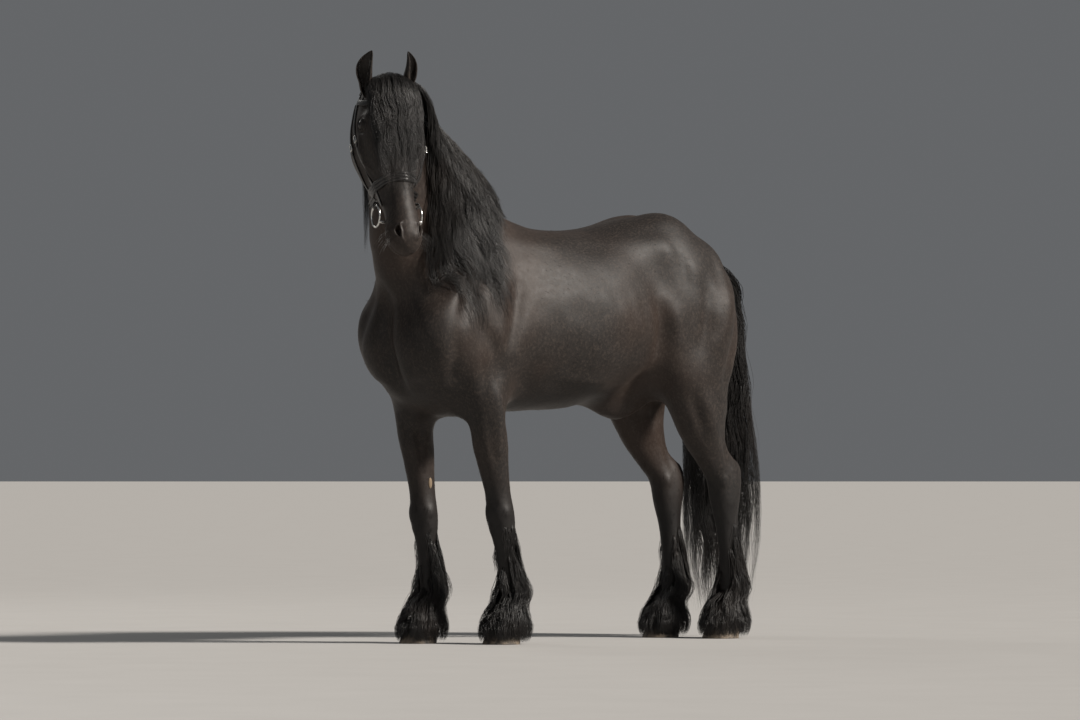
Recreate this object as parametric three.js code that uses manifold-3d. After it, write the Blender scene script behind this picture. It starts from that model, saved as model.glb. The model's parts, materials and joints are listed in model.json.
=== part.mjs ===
// A Friesian horse, standing, with its head turned to its left, as a still life-size model.
// Lengths are millimetres: +X to the front of the body, +Y to its left, +Z up, floor at Z = 0.
// Each mass of the body is a loft through a few stations, and each piece is cut clear of its neighbours.

import * as THREE from "three";
import { mergeVertices } from "three/addons/utils/BufferGeometryUtils.js";
import Module from "manifold-3d";

const wasm = await Module();
wasm.setup();

// The gap that touching pieces keep, and the extra growth of a cutter so that facets stay clear too.
const GAP = 0.35;

const X_AXIS = new THREE.Vector3(1, 0, 0);
const Y_AXIS = new THREE.Vector3(0, 1, 0);
const Z_AXIS = new THREE.Vector3(0, 0, 1);
const DOWN = Z_AXIS.clone().negate();
const radians = THREE.MathUtils.degToRad;

// Materials, from the coat, hooves, eyes, leather and steel.
function finish(color, roughness, metalness = 0) {
  return new THREE.MeshStandardMaterial({ color, roughness, metalness });
}
const COAT = finish(0x1b1513, 0.55);
const HAIR = finish(0x12100f, 0.5);
const HORN = finish(0x2b2622, 0.7);
const EYE = finish(0x0d0806, 0.1);
const LEATHER = finish(0x0e0d0d, 0.35);
const STEEL = finish(0xc8c8c6, 0.25, 1);

// Stations of the trunk from the buttocks to the breast: place along X, height of the widest line,
// half width, rise to the back line, drop to the belly line, then the roundness above and below.
const TRUNK = [
  [-752, 0, 1300, 40, 45, 60, 2, 2],
  [-730, 0, 1300, 112, 105, 130, 2.1, 2],
  [-675, 0, 1300, 180, 195, 230, 2.1, 2.1],
  [-590, 0, 1292, 236, 278, 300, 2.1, 2.2],
  [-480, 0, 1288, 274, 345, 325, 2.2, 2.2],
  [-370, 0, 1285, 286, 382, 310, 2.3, 2.2],
  [-240, 0, 1265, 285, 393, 255, 2.2, 2.1],
  [-90, 0, 1235, 297, 382, 300, 2.0, 2.1],
  [90, 0, 1215, 308, 376, 320, 2.0, 2.1],
  [260, 0, 1210, 300, 392, 322, 1.9, 2.1],
  [410, 0, 1215, 278, 418, 335, 1.75, 2.1],
  [550, 0, 1215, 262, 385, 350, 1.8, 2.2],
  [690, 0, 1215, 262, 310, 352, 2.0, 2.3],
  [800, 0, 1210, 262, 235, 300, 2.2, 2.5],
  [880, 0, 1205, 235, 165, 232, 2.3, 2.5],
  [930, 0, 1205, 178, 110, 155, 2.3, 2.4],
  [955, 0, 1205, 85, 55, 75, 2, 2],
];

// Stations of the neck from inside the chest to the poll: centre, half width, reach to the crest
// and to the throat, roundness of crest and throat.
const NECK = [
  [480, 0, 1300, 210, 275, 300, 2, 2.2],
  [610, 0, 1420, 198, 288, 325, 1.9, 2.2],
  [730, 5, 1550, 170, 302, 322, 1.8, 2.2],
  [835, 26, 1685, 142, 294, 278, 1.7, 2.2],
  [928, 66, 1815, 118, 262, 236, 1.7, 2.1],
  [1005, 120, 1925, 100, 210, 170, 1.8, 2.1],
  [1062, 172, 2005, 88, 158, 138, 2, 2],
  [1105, 206, 2050, 74, 98, 105, 2, 2],
];

// The head hangs from the poll: turned to the left of the body, its face sloping from upright.
const HEAD = { poll: [1118, 222, 2128], turn: 73, slope: 20 };

// Stations down the head from the poll: distance, half width, distance of the widest line behind the
// face, face line, jaw line, roundness in front and behind.
const SKULL = [
  [-22, 30, 75, 20, 120, 2, 2],
  [-8, 60, 80, 2, 162, 2, 2],
  [30, 82, 90, -8, 196, 2.2, 2.1],
  [80, 99, 94, -14, 228, 2.3, 2.3],
  [120, 109, 92, -15, 256, 2.4, 2.4],
  [152, 115, 91, -14, 274, 2.4, 2.5],
  [185, 118, 90, -12, 288, 2.5, 2.6],
  [235, 113, 90, -7, 301, 2.4, 2.8],
  [295, 100, 90, -3, 297, 2.3, 2.8],
  [355, 84, 86, 0, 262, 2.2, 2.7],
  [418, 69, 78, 1, 208, 2.2, 2.5],
  [488, 60, 74, 2, 165, 2.2, 2.3],
  [552, 63, 70, 2, 146, 2.2, 2.3],
  [600, 67, 66, 4, 142, 2.3, 2.4],
  [640, 64, 68, 12, 135, 2.3, 2.4],
  [668, 51, 73, 29, 120, 2.2, 2.2],
  [686, 24, 78, 54, 98, 2, 2],
];

// Stations down a left foreleg that stands plumb, from inside the chest to the coronet.
const FORELEG = [
  [668, 140, 1210, 85, 120, 130, 2, 2],
  [668, 158, 1090, 98, 126, 150, 2, 2],
  [664, 176, 980, 88, 104, 116, 2.1, 2],
  [660, 182, 885, 78, 90, 82, 2.1, 2.1],
  [652, 178, 780, 68, 80, 74, 2.1, 2.1],
  [641, 172, 665, 57, 64, 60, 2.1, 2.1],
  [630, 167, 565, 50, 52, 54, 2.2, 2.2],
  [628, 165, 505, 57, 60, 58, 2.4, 2.3],
  [624, 162, 450, 54, 55, 58, 2.4, 2.2],
  [620, 159, 395, 43, 43, 53, 2.3, 2.1],
  [614, 155, 300, 39, 41, 56, 2.2, 2.1],
  [608, 152, 205, 43, 44, 62, 2.2, 2.1],
  [602, 150, 148, 44, 46, 60, 2.2, 2.1],
  [622, 150, 106, 41, 42, 46, 2.2, 2.1],
  [640, 150, 78, 50, 48, 50, 2.1, 2.1],
];

// Stations down a left hind leg, from inside the haunch to the coronet.
const HINDLEG = [
  [-465, 148, 1390, 125, 170, 180, 2, 2],
  [-462, 162, 1260, 135, 205, 212, 2, 2],
  [-456, 172, 1120, 122, 195, 202, 2, 2.1],
  [-458, 178, 1000, 102, 165, 176, 2.1, 2.1],
  [-482, 178, 900, 88, 128, 142, 2.1, 2.1],
  [-520, 170, 800, 73, 100, 98, 2.1, 2.1],
  [-570, 160, 705, 57, 72, 76, 2.2, 2],
  [-608, 150, 645, 52, 60, 100, 2.3, 1.9],
  [-626, 145, 600, 54, 64, 102, 2.4, 1.9],
  [-638, 142, 540, 54, 64, 74, 2.4, 2],
  [-646, 138, 470, 45, 52, 58, 2.3, 2],
  [-656, 132, 380, 40, 46, 52, 2.2, 2.1],
  [-666, 128, 270, 41, 47, 58, 2.2, 2.1],
  [-672, 125, 195, 46, 51, 64, 2.2, 2.1],
  [-672, 124, 148, 45, 50, 62, 2.2, 2.1],
  [-655, 124, 106, 42, 44, 46, 2.2, 2.1],
  [-638, 124, 78, 50, 48, 50, 2.1, 2.1],
];

// How far each foot stands ahead of or behind a plumb leg, and the height where the lean begins.
const STANCE = {
  fore_left: { table: FORELEG, mirror: 1, lean: -168, from: 1250 },
  fore_right: { table: FORELEG, mirror: -1, lean: 5, from: 1050 },
  hind_left: { table: HINDLEG, mirror: 1, lean: -40, from: 900 },
  hind_right: { table: HINDLEG, mirror: -1, lean: 62, from: 1000 },
};
const KNEE_CUT = { fore: 560, hind: 700 };

// The head's smaller parts, in its own frame: distance down the face, to the side, and off the face.
const EYE_AT = { down: 168, left: 103, off: -66, radius: 21 };
const NOSTRIL = { down: 609, left: 43, off: -24 };
const MOUTH = { corner: 546, depth: 14, height: 3, off: -84, slope: 7 };
const EAR = { down: 16, left: 82, off: -42, length: 132, wall: 5 };
// Rows up an ear: share of its height, half width, depth, bend to the middle, half the angle of its
// opening.
const EAR_ROWS = [
  [-0.25, 20, 20, 0, 25],
  [0.05, 25, 24, -0.02, 35],
  [0.3, 31, 25, -0.08, 55],
  [0.55, 30, 22, -0.11, 70],
  [0.76, 23, 16, -0.07, 75],
  [0.92, 12, 9, 0.01, 75],
  [1.0, 3, 3, 0.06, 75],
];
// Soft swells of the face: temple, brow, cheek, crest of the cheekbone, side of the nose, chin groove.
const FACE_SWELLS = [
  [112, 92, -50, 32, 36, 30, -8],
  [152, 104, -42, 32, 40, 24, 7],
  [245, 98, -190, 80, 60, 70, 7],
  [262, 98, -98, 90, 40, 18, 7],
  [410, 62, -62, 60, 30, 30, -5],
  [505, 55, -118, 50, 40, 30, -5],
];

// Lines of the straps in the side view of the head: distance down the face, and off it.
const CHEEK_LINE = [[20, -112], [100, -122], [215, -130], [320, -124], [405, -110], [500, -106]];
const HANGER_LINE = [[60, -150], [162, -172], [320, -190], [396, -196]];
const CROWN_LINE = [[24, -112], [-40, -100]];
const BROW_LINE = [[62, -108], [88, -50], [98, 40]];
const NOSE_LINE = [[386, -300], [404, -110], [398, 40]];
const THROAT_LINE = [[62, -140], [130, -214], [205, -340]];
const BIT = { down: 515, off: -114, ring: 40, side: 84 };

// The hair: how many locks, how long, how wide and thick by halves, and how far clear of the flesh.
const MANE = {
  seed: 7,
  from: 1.1,
  to: 6.4,
  layers: [
    { count: 8, side: 1, after: 0, until: 0.97, length: 760, half: 34, thick: 4, lift: 13, steps: 6 },
    { count: 7, side: 1, after: 0.06, until: 0.93, length: 720, half: 34, thick: 4, lift: 27, steps: 6 },
    { count: 6, side: 1, after: 0.03, until: 0.9, length: 580, half: 34, thick: 4, lift: 42, steps: 6 },
    { count: 3, side: -1, after: 0.76, until: 0.25, length: 540, half: 28, thick: 4, lift: 12, steps: 6 },
  ],
};
const FORELOCK = {
  seed: 21,
  layers: [
    { count: 5, spread: 0.9, length: 430, half: 25, thick: 5, lift: 9, steps: 6 },
    { count: 3, spread: 0.5, length: 410, half: 25, thick: 5, lift: 21, steps: 6 },
  ],
};
const TAIL = {
  seed: 5,
  layers: [
    { count: 5, share: 0.58, from: 0.9, half: 42, thick: 11, steps: 7, turned: 0.5 },
    { count: 8, share: 1, from: 0.5, half: 42, thick: 11, steps: 7, turned: 0 },
  ],
};
const FEATHER = {
  seed: 40,
  back: 2,
  thick: 4,
  floor: 14,
  foreTop: 430,
  hindTop: 420,
  bells: [
    { turns: [30, 90, 150, 210, 270, 330], clear: 14, half: 34 },
    { turns: [102, 154, 206, 258], clear: 31, half: 34 },
  ],
};
// The dock of the tail from inside the rump, then the packed hair round it.
const DOCK = [
  [-670, 0, 1502, 30, 30, 30, 2, 2],
  [-752, -4, 1492, 34, 32, 32, 2, 2],
  [-798, -22, 1425, 38, 34, 34, 2, 2],
  [-816, -48, 1270, 44, 36, 36, 2, 2],
  [-824, -70, 1050, 50, 38, 38, 2, 2],
  [-830, -82, 850, 36, 26, 26, 2, 2],
];
// The whole tail as a bundle: its middle, and how far its outer locks stand to the side, ahead, behind.
const TAIL_BUNDLE = [
  [-752, -4, 1494, 36, 32, 32, 2, 2],
  [-796, -22, 1428, 48, 40, 38, 2, 2],
  [-816, -48, 1270, 66, 50, 46, 2, 2],
  [-824, -70, 1050, 84, 58, 54, 2, 2],
  [-836, -80, 850, 106, 66, 70, 2, 2],
  [-850, -84, 600, 128, 78, 84, 2, 2],
  [-856, -88, 350, 132, 80, 84, 2, 2],
  [-852, -88, 95, 94, 58, 60, 2, 2],
];
const TAIL_AHEAD = new THREE.Vector3(1, 0, 0.01);

// Soft swells and hollows on the trunk, on both sides: centre, reach on each axis, height.
const MUSCLES = [
  [640, 230, 1330, 120, 120, 200, 16],
  [560, 250, 1120, 110, 100, 110, 20],
  [838, 215, 1165, 75, 80, 95, 18],
  [915, 95, 1120, 70, 80, 110, 20],
  [940, 0, 1110, 80, 26, 160, -26],
  [455, 265, 960, 60, 100, 110, -18],
  [-262, 235, 1520, 65, 70, 50, 16],
  [-215, 280, 1400, 90, 90, 110, -20],
  [-380, 140, 1640, 170, 70, 70, 16],
  [-470, 0, 1670, 230, 26, 60, -22],
  [-600, 255, 1260, 150, 120, 180, 12],
  [-330, 240, 1030, 80, 110, 110, 12],
];

// Cubic through each column of a table at `steps` places between two rows, by distance between centres.
function smoothed(rows, steps) {
  const at = [0];
  for (let i = 1; i < rows.length; i++) {
    const [a, b] = [rows[i - 1], rows[i]];
    at.push(at[i - 1] + Math.hypot(b[0] - a[0], b[1] - a[1], b[2] - a[2]));
  }
  const last = rows.length - 1;
  const slope = (i, k) => {
    const [lo, hi] = [Math.max(i - 1, 0), Math.min(i + 1, last)];
    return (rows[hi][k] - rows[lo][k]) / (at[hi] - at[lo]);
  };
  const out = [];
  for (let i = 0; i < last; i++) {
    const span = at[i + 1] - at[i];
    for (let s = 0; s < steps; s++) {
      const t = s / steps;
      const [t2, t3] = [t * t, t * t * t];
      out.push(
        rows[i].map(
          (v, k) =>
            (2 * t3 - 3 * t2 + 1) * v +
            (t3 - 2 * t2 + t) * span * slope(i, k) +
            (3 * t2 - 2 * t3) * rows[i + 1][k] +
            (t3 - t2) * span * slope(i + 1, k),
        ),
      );
    }
  }
  out.push(rows[last]);
  return out;
}

// A point of a section: half width, reach ahead and behind, with a roundness for each half.
function onSection([side, ahead, behind, aheadPower, behindPower], angle) {
  const [c, s] = [Math.cos(angle), Math.sin(angle)];
  const power = s >= 0 ? aheadPower : behindPower;
  const reach = s >= 0 ? ahead : behind;
  const rounded = (value, size) => size * Math.sign(value) * Math.abs(value) ** (2 / power);
  return [rounded(c, side), rounded(s, reach)];
}

// A closed mesh from rings of points that run round the way of travel, with a fan on each end.
function skinOf(rings) {
  const count = rings[0].length;
  const points = rings.flat();
  const middle = (ring) => ring.reduce((sum, p) => sum.add(p), new THREE.Vector3()).divideScalar(count);
  const faces = [];
  for (let i = 0; i + 1 < rings.length; i++) {
    for (let j = 0; j < count; j++) {
      const next = (j + 1) % count;
      const [a, b] = [i * count + j, i * count + next];
      faces.push(a, b, a + count, b, b + count, a + count);
    }
  }
  const first = points.length;
  const end = (rings.length - 1) * count;
  points.push(middle(rings[0]), middle(rings[rings.length - 1]));
  for (let j = 0; j < count; j++) {
    const next = (j + 1) % count;
    faces.push(first, next, j, first + 1, end + j, end + next);
  }
  return { points, faces };
}

function solid({ points, faces }) {
  const vertProperties = new Float32Array(points.flatMap((p) => [p.x, p.y, p.z]));
  return new wasm.Manifold(new wasm.Mesh({ numProp: 3, vertProperties, triVerts: new Uint32Array(faces) }));
}

// A geometry as a solid, after it is moved into place.
function solidOf(geometry, matrix = new THREE.Matrix4()) {
  const bare = geometry.clone().applyMatrix4(matrix);
  for (const spare of ["normal", "uv"]) bare.deleteAttribute(spare);
  const merged = mergeVertices(bare, 1e-3);
  const vertProperties = new Float32Array(merged.attributes.position.array);
  return new wasm.Manifold(
    new wasm.Mesh({ numProp: 3, vertProperties, triVerts: new Uint32Array(merged.index.array) }),
  );
}

const largest = (made) => made.decompose().sort((a, b) => b.volume() - a.volume())[0];
const union = (pieces) => pieces.reduce((sum, piece) => sum.add(piece));
const cutBy = (made, cutters) => largest(cutters.reduce((left, cutter) => left.subtract(cutter), made));

// The sum of soft swells at a place; both sides of the body carry the same ones.
function swell(swells, x, y, z) {
  let sum = 0;
  for (const [cx, cy, cz, rx, ry, rz, height] of swells) {
    const away = ((x - cx) / rx) ** 2 + ((Math.abs(y) - cy) / ry) ** 2 + ((z - cz) / rz) ** 2;
    sum += height * Math.exp(-away);
  }
  return sum;
}

// The sections of a table: middle, way of travel, way ahead and way left, and the row's own sizes.
function sections(rows, steps, ahead, travel) {
  const fine = smoothed(rows, steps);
  const centre = (i) => new THREE.Vector3(...fine[Math.min(Math.max(i, 0), fine.length - 1)].slice(0, 3));
  return fine.map((row, i) => {
    const along = (travel ? travel.clone() : centre(i + 1).sub(centre(i - 1))).normalize();
    const up = ahead.clone().addScaledVector(along, -ahead.dot(along)).normalize();
    return { middle: centre(i), along, up, left: up.clone().cross(along), sizes: row.slice(3) };
  });
}

// A loft along `rows` of centre, half width, reaches and roundness. `ahead` gives the way that the
// first reach points, `travel` fixes the sections' normal where the centres don't, and `swollen`
// gives the height of the soft swells at a point.
function loft(rows, { sides, steps, ahead, travel, grow = 0, swollen }) {
  const cuts = sections(rows, steps, ahead, travel);
  const rings = cuts.map(({ middle, along, up, left, sizes }, i) => {
    const [side, front, back, ...powers] = sizes;
    const shift = grow * (i === 0 ? -1 : i === cuts.length - 1 ? 1 : 0);
    const ring = [];
    for (let j = 0; j < sides; j++) {
      const angle = (2 * Math.PI * (j + 0.5)) / sides;
      const [across, reach] = onSection([side + grow, front + grow, back + grow, ...powers], angle);
      const out = left.clone().multiplyScalar(across).addScaledVector(up, reach);
      const point = middle.clone().addScaledVector(along, shift).add(out);
      if (swollen) point.addScaledVector(out.normalize(), swollen(point));
      ring.push(point);
    }
    return ring;
  });
  return solid(skinOf(rings));
}

// The head's own frame: down the face, out of the face, and to the head's left.
const facing = new THREE.Vector3(Math.cos(radians(HEAD.turn)), Math.sin(radians(HEAD.turn)), 0);
const slope = radians(HEAD.slope);
const DOWN_FACE = facing.clone().multiplyScalar(Math.sin(slope)).addScaledVector(Z_AXIS, -Math.cos(slope));
const OFF_FACE = facing.clone().multiplyScalar(Math.cos(slope)).addScaledVector(Z_AXIS, Math.sin(slope));
const HEAD_LEFT = OFF_FACE.clone().cross(DOWN_FACE);
const POLL = new THREE.Vector3(...HEAD.poll);
const inHead = (down, off, left) =>
  POLL.clone()
    .addScaledVector(DOWN_FACE, down)
    .addScaledVector(OFF_FACE, off)
    .addScaledVector(HEAD_LEFT, left);


const trunkSwell = (p) => swell(MUSCLES, p.x, p.y, p.z);
const trunk = (grow = 0) =>
  loft(TRUNK, { sides: 28, steps: 1, ahead: Z_AXIS, travel: X_AXIS, grow, swollen: trunkSwell });

const neck = (grow = 0) => loft(NECK, { sides: 24, steps: 2, ahead: Z_AXIS, grow });

function faceSwell(point) {
  const p = point.clone().sub(POLL);
  return swell(FACE_SWELLS, p.dot(DOWN_FACE), p.dot(HEAD_LEFT), p.dot(OFF_FACE));
}

function skull(grow = 0, sides = 20) {
  const rows = SKULL.map(([down, side, middle, face, jaw, ...powers]) => [
    ...inHead(down, -middle, 0).toArray(),
    side,
    middle - face,
    jaw - middle,
    ...powers,
  ]);
  return loft(rows, { sides, steps: 1, ahead: OFF_FACE, travel: DOWN_FACE, grow, swollen: faceSwell });
}

// A leg's table on its own side, with the foot carried ahead or behind by its lean.
function legRows({ table, mirror, lean, from }) {
  return table.map(([x, y, z, ...rest]) => {
    const share = Math.max(0, (from - z) / from);
    return [x + lean * share, y * mirror, z, ...rest];
  });
}
const leg = (name, grow = 0) => loft(legRows(STANCE[name]), { sides: 12, steps: 1, ahead: X_AXIS, grow });

// A hoof from a flat sole up to the coronet, toe ahead.
function hoof(name, grow = 0) {
  const rows = legRows(STANCE[name]);
  const [x, y] = rows[rows.length - 1];
  const hoofRows = [
    [x + 22, y, 0, 70, 74, 62, 2.1, 2.3],
    [x + 14, y, 30, 65, 68, 60, 2.1, 2.2],
    [x, y, 80, 53, 52, 53, 2.1, 2.1],
  ];
  return loft(hoofRows, { sides: 16, steps: 1, ahead: X_AXIS, travel: Z_AXIS, grow });
}

// A ball with its own reach on each axis, set in the head's frame.
const headFrame = new THREE.Matrix4().makeBasis(DOWN_FACE, HEAD_LEFT, OFF_FACE).setPosition(POLL);
const balls = { fine: new THREE.IcosahedronGeometry(1, 2), plain: new THREE.IcosahedronGeometry(1, 1) };
function headBall(ball, [down, left, off], [rd, rl, ro], tilt = 0) {
  const place = new THREE.Matrix4()
    .multiply(headFrame)
    .multiply(new THREE.Matrix4().makeTranslation(down, left, off))
    .multiply(new THREE.Matrix4().makeRotationY(tilt))
    .scale(new THREE.Vector3(rd, rl, ro));
  return solidOf(ball, place);
}

// The ball of an eye, set back so that the lids close over its upper and lower thirds.
const eyeball = (side, grow = 0) =>
  headBall(balls.fine, [EYE_AT.down, side * EYE_AT.left, EYE_AT.off], Array(3).fill(EYE_AT.radius + grow));

// A lid is a fold that arches over the ball from corner to corner; `rise` is how far it lifts. The
// eye's long axis runs down the face, its front corner a little towards the nose.
function lid(side, rise) {
  const { down, left, off, radius } = EYE_AT;
  const rings = [];
  const turns = 6;
  for (let i = 0; i <= turns; i++) {
    const t = (i / turns) * 2 - 1;
    const bow = Math.sqrt(Math.max(0, 1 - t * t));
    const [along, lift] = [t * (radius - 1), rise * bow];
    const out = Math.sqrt((radius + 1.5) ** 2 - along * along - lift * lift);
    const [lower, higher] = [along * 0.97 - lift * 0.25, along * 0.25 + lift * 0.97];
    const middle = inHead(down + lower, off + higher, side * (left + out));
    const thick = 2 + 2.6 * bow;
    const ring = [];
    for (let j = 0; j < 4; j++) {
      const angle = (2 * Math.PI * (j + 0.5)) / 4;
      ring.push(
        middle
          .clone()
          .addScaledVector(OFF_FACE, Math.sin(angle) * thick)
          .addScaledVector(HEAD_LEFT, Math.cos(angle) * thick),
      );
    }
    rings.push(ring);
  }
  return rightWayOut(skinOf(rings));
}

// The cut of the mouth: a thin slab at the corner's height, kept out of the middle of the muzzle.
function mouthCut() {
  const { corner, depth, height, off, slope: tip } = MOUTH;
  const slab = new THREE.BoxGeometry(300, 300, height);
  const place = new THREE.Matrix4()
    .multiply(headFrame)
    .multiply(new THREE.Matrix4().makeTranslation(corner, 0, off))
    .multiply(new THREE.Matrix4().makeRotationY(radians(tip)))
    .multiply(new THREE.Matrix4().makeTranslation(150, 0, 0));
  return solidOf(slab, place).subtract(skull(-depth, 10));
}

// The whole head: jaw, lids, flared nostrils, lips and the mouth between them.
function headFlesh() {
  let made = skull();
  for (const side of [1, -1]) {
    made = union([made, lid(side, 13), lid(side, -10)]);
    const { down, left, off } = NOSTRIL;
    made = made.add(headBall(balls.fine, [down, side * left, off - 4], [36, 23, 27], 0.2));
    made = made.subtract(headBall(balls.plain, [down + 2, side * (left + 2), off + 16], [21, 12, 23], 0.2));
  }
  made = made.add(headBall(balls.plain, [640, 0, -122], [35, 41, 25]));
  return made.subtract(mouthCut());
}

// An ear is a leaf rolled into a cup that opens ahead and outward, with the tip bent to the middle.
// Its room is the same leaf without the hollow.
function ear(side, grow = 0) {
  const { down, left, off, length, wall } = EAR;
  const foot = inHead(down, off, side * left);
  const up = Z_AXIS.clone().addScaledVector(facing, 0.3).normalize();
  const open = facing.clone().multiplyScalar(0.8).addScaledVector(HEAD_LEFT, side * 0.6);
  open.addScaledVector(up, -open.dot(up)).normalize();
  const wide = open.clone().cross(up).normalize();
  const rows = EAR_ROWS.map(([height, ...rest]) => [0, 0, height, ...rest]);
  const rings = smoothed(rows, 2).map(([, , height, half, deep, bend, gap]) => {
    const middle = foot.clone().addScaledVector(up, height * length);
    middle.addScaledVector(HEAD_LEFT, -side * bend * length);
    const sweep = Math.PI - radians(gap);
    const arc = (inset, share, spots) =>
      [...Array(spots).keys()].map((j) => {
        const angle = -Math.PI / 2 - sweep * share + (2 * sweep * share * j) / (spots - 1);
        return middle
          .clone()
          .addScaledVector(wide, Math.cos(angle) * (half - inset))
          .addScaledVector(open, Math.sin(angle) * (deep - inset));
      });
    const inner = arc(Math.min(wall, half * 0.45), 0.94, 5).reverse();
    return grow ? arc(-grow, 1, 8) : [...arc(0, 1, 7), ...inner];
  });
  return rightWayOut(skinOf(rings));
}

// A closed mesh turned so that its faces look out.
function rightWayOut(shape) {
  const made = solid(shape);
  if (made.volume() > 0) return made;
  for (let i = 0; i < shape.faces.length; i += 3) {
    [shape.faces[i], shape.faces[i + 1]] = [shape.faces[i + 1], shape.faces[i]];
  }
  return solid(shape);
}

// A strap lies on the head as the part of a thin shell that a strip of the side view cuts out.
const shell = (thick) => skull(GAP + thick).subtract(skull(GAP));
function strip(line, width, from, to) {
  const edge = [];
  const back = [];
  line.forEach(([down, off], i) => {
    const [d0, o0] = line[Math.max(i - 1, 0)];
    const [d1, o1] = line[Math.min(i + 1, line.length - 1)];
    const size = Math.hypot(d1 - d0, o1 - o0);
    const [nd, no] = [(-(o1 - o0) / size) * (width / 2), ((d1 - d0) / size) * (width / 2)];
    edge.push(new THREE.Vector2(down + nd, off + no));
    back.unshift(new THREE.Vector2(down - nd, off - no));
  });
  const shape = new THREE.Shape([...edge, ...back]);
  const prism = new THREE.ExtrudeGeometry(shape, { depth: to - from, bevelEnabled: false });
  const sideways = new THREE.Matrix4().makeBasis(DOWN_FACE, OFF_FACE, HEAD_LEFT);
  return rightSolid(prism, sideways.setPosition(inHead(0, 0, from)));
}
function rightSolid(geometry, matrix) {
  const made = solidOf(geometry, matrix);
  if (made.volume() > 0) return made;
  const turned = geometry.clone();
  const order = geometry.index ? geometry.index.array : Array(geometry.attributes.position.count).keys();
  turned.setIndex([...order].reverse());
  return solidOf(turned, matrix);
}
const strap = (line, width, thick) => shell(thick).intersect(strip(line, width, -200, 200));
const strapRoom = (line, width, thick) =>
  skull(thick + 2 * GAP).intersect(strip(line, width + 2 * GAP, -200, 200));

// The bridle: crown and cheekpieces in one, browband, noseband, throat strap, then the bit.
const STRAPS = {
  cheek: [CHEEK_LINE, 17, 4],
  hanger: [HANGER_LINE, 13, 4],
  crown: [CROWN_LINE, 26, 4],
  brow: [BROW_LINE, 20, 4],
  nose: [NOSE_LINE, 30, 8],
  throat: [THROAT_LINE, 15, 4],
};
const headstall = () => union(["cheek", "hanger", "crown"].map((name) => strap(...STRAPS[name])));
const rooms = Object.fromEntries(Object.entries(STRAPS).map(([name, how]) => [name, strapRoom(...how)]));

// A ring on each side of the mouth, joined by the bar that lies in it.
function bit(grow = 0) {
  const ring = new THREE.TorusGeometry(BIT.ring, 4 + grow, 5, 18);
  const flat = new THREE.Matrix4().makeBasis(DOWN_FACE, OFF_FACE, HEAD_LEFT);
  const rings = [1, -1].map((side) => {
    const middle = inHead(BIT.down, BIT.off, side * BIT.side);
    return rightSolid(ring, flat.clone().setPosition(middle));
  });
  const bar = new THREE.CylinderGeometry(6 + grow, 6 + grow, 2 * BIT.side + 2 * grow, 6);
  const across = new THREE.Matrix4()
    .makeBasis(DOWN_FACE, HEAD_LEFT, OFF_FACE)
    .setPosition(inHead(BIT.down + BIT.ring * 0.78, BIT.off + BIT.ring * 0.62, 0));
  return union([...rings, rightSolid(bar, across)]);
}

// Even draws between 0 and 1 from a seed, so that the hair is the same each time.
function seeded(seed) {
  let state = seed;
  return () => {
    state = (state + 0x6d2b79f5) | 0;
    let t = Math.imul(state ^ (state >>> 15), 1 | state);
    t = (t + Math.imul(t ^ (t >>> 7), 61 | t)) ^ t;
    return ((t ^ (t >>> 14)) >>> 0) / 4294967296;
  };
}

// The triangles of some solids, for finding the nearest place on them.
function surfaceOf(solids) {
  return solids.flatMap((made) => {
    const { vertProperties: v, triVerts: f } = made.getMesh();
    const corner = (k) => new THREE.Vector3(v[3 * f[k]], v[3 * f[k] + 1], v[3 * f[k] + 2]);
    return Array.from({ length: f.length / 3 }, (_, i) => {
      const triangle = new THREE.Triangle(corner(3 * i), corner(3 * i + 1), corner(3 * i + 2));
      const middle = triangle.getMidpoint(new THREE.Vector3());
      const reach = Math.max(...["a", "b", "c"].map((k) => triangle[k].distanceTo(middle)));
      return { triangle, middle, reach, normal: triangle.getNormal(new THREE.Vector3()) };
    });
  });
}
function nearest(surface, point) {
  let best = { far: Infinity };
  const foot = new THREE.Vector3();
  for (const face of surface) {
    if (face.middle.distanceTo(point) - face.reach > best.far) continue;
    face.triangle.closestPointToPoint(point, foot);
    const far = foot.distanceTo(point);
    if (far < best.far) best = { far, foot: foot.clone(), normal: face.normal };
  }
  const depth = point.clone().sub(best.foot).dot(best.normal);
  return { foot: best.foot, normal: best.normal, depth: Math.sign(depth || 1) * best.far };
}

// Where a lock falls: from its root it turns down and keeps `lift` clear of the flesh, so that locks
// of one layer pass over those below; then it sways from side to side.
function fall(surface, root, start, { length, steps, lift, stiff, ...wave }) {
  const path = [{ point: root.clone(), normal: nearest(surface, root).normal.clone() }];
  let heading = start.clone().normalize();
  let at = root.clone();
  for (let i = 1; i <= steps; i++) {
    heading.lerp(DOWN, 1 - stiff).normalize();
    const next = at.clone().addScaledVector(heading, length / steps);
    const near = nearest(surface, next);
    const clear = Math.max(0, near.depth - 70) * 0.8 + lift * Math.min(1, 0.3 + 0.35 * i);
    if (near.depth < 150) next.copy(near.foot).addScaledVector(near.normal, clear);
    heading = next.clone().sub(at).normalize();
    path.push({ point: next, normal: near.normal.clone() });
    at = next.clone();
  }
  path[0].normal = path[1].normal;
  return swayed(path, wave);
}

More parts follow.
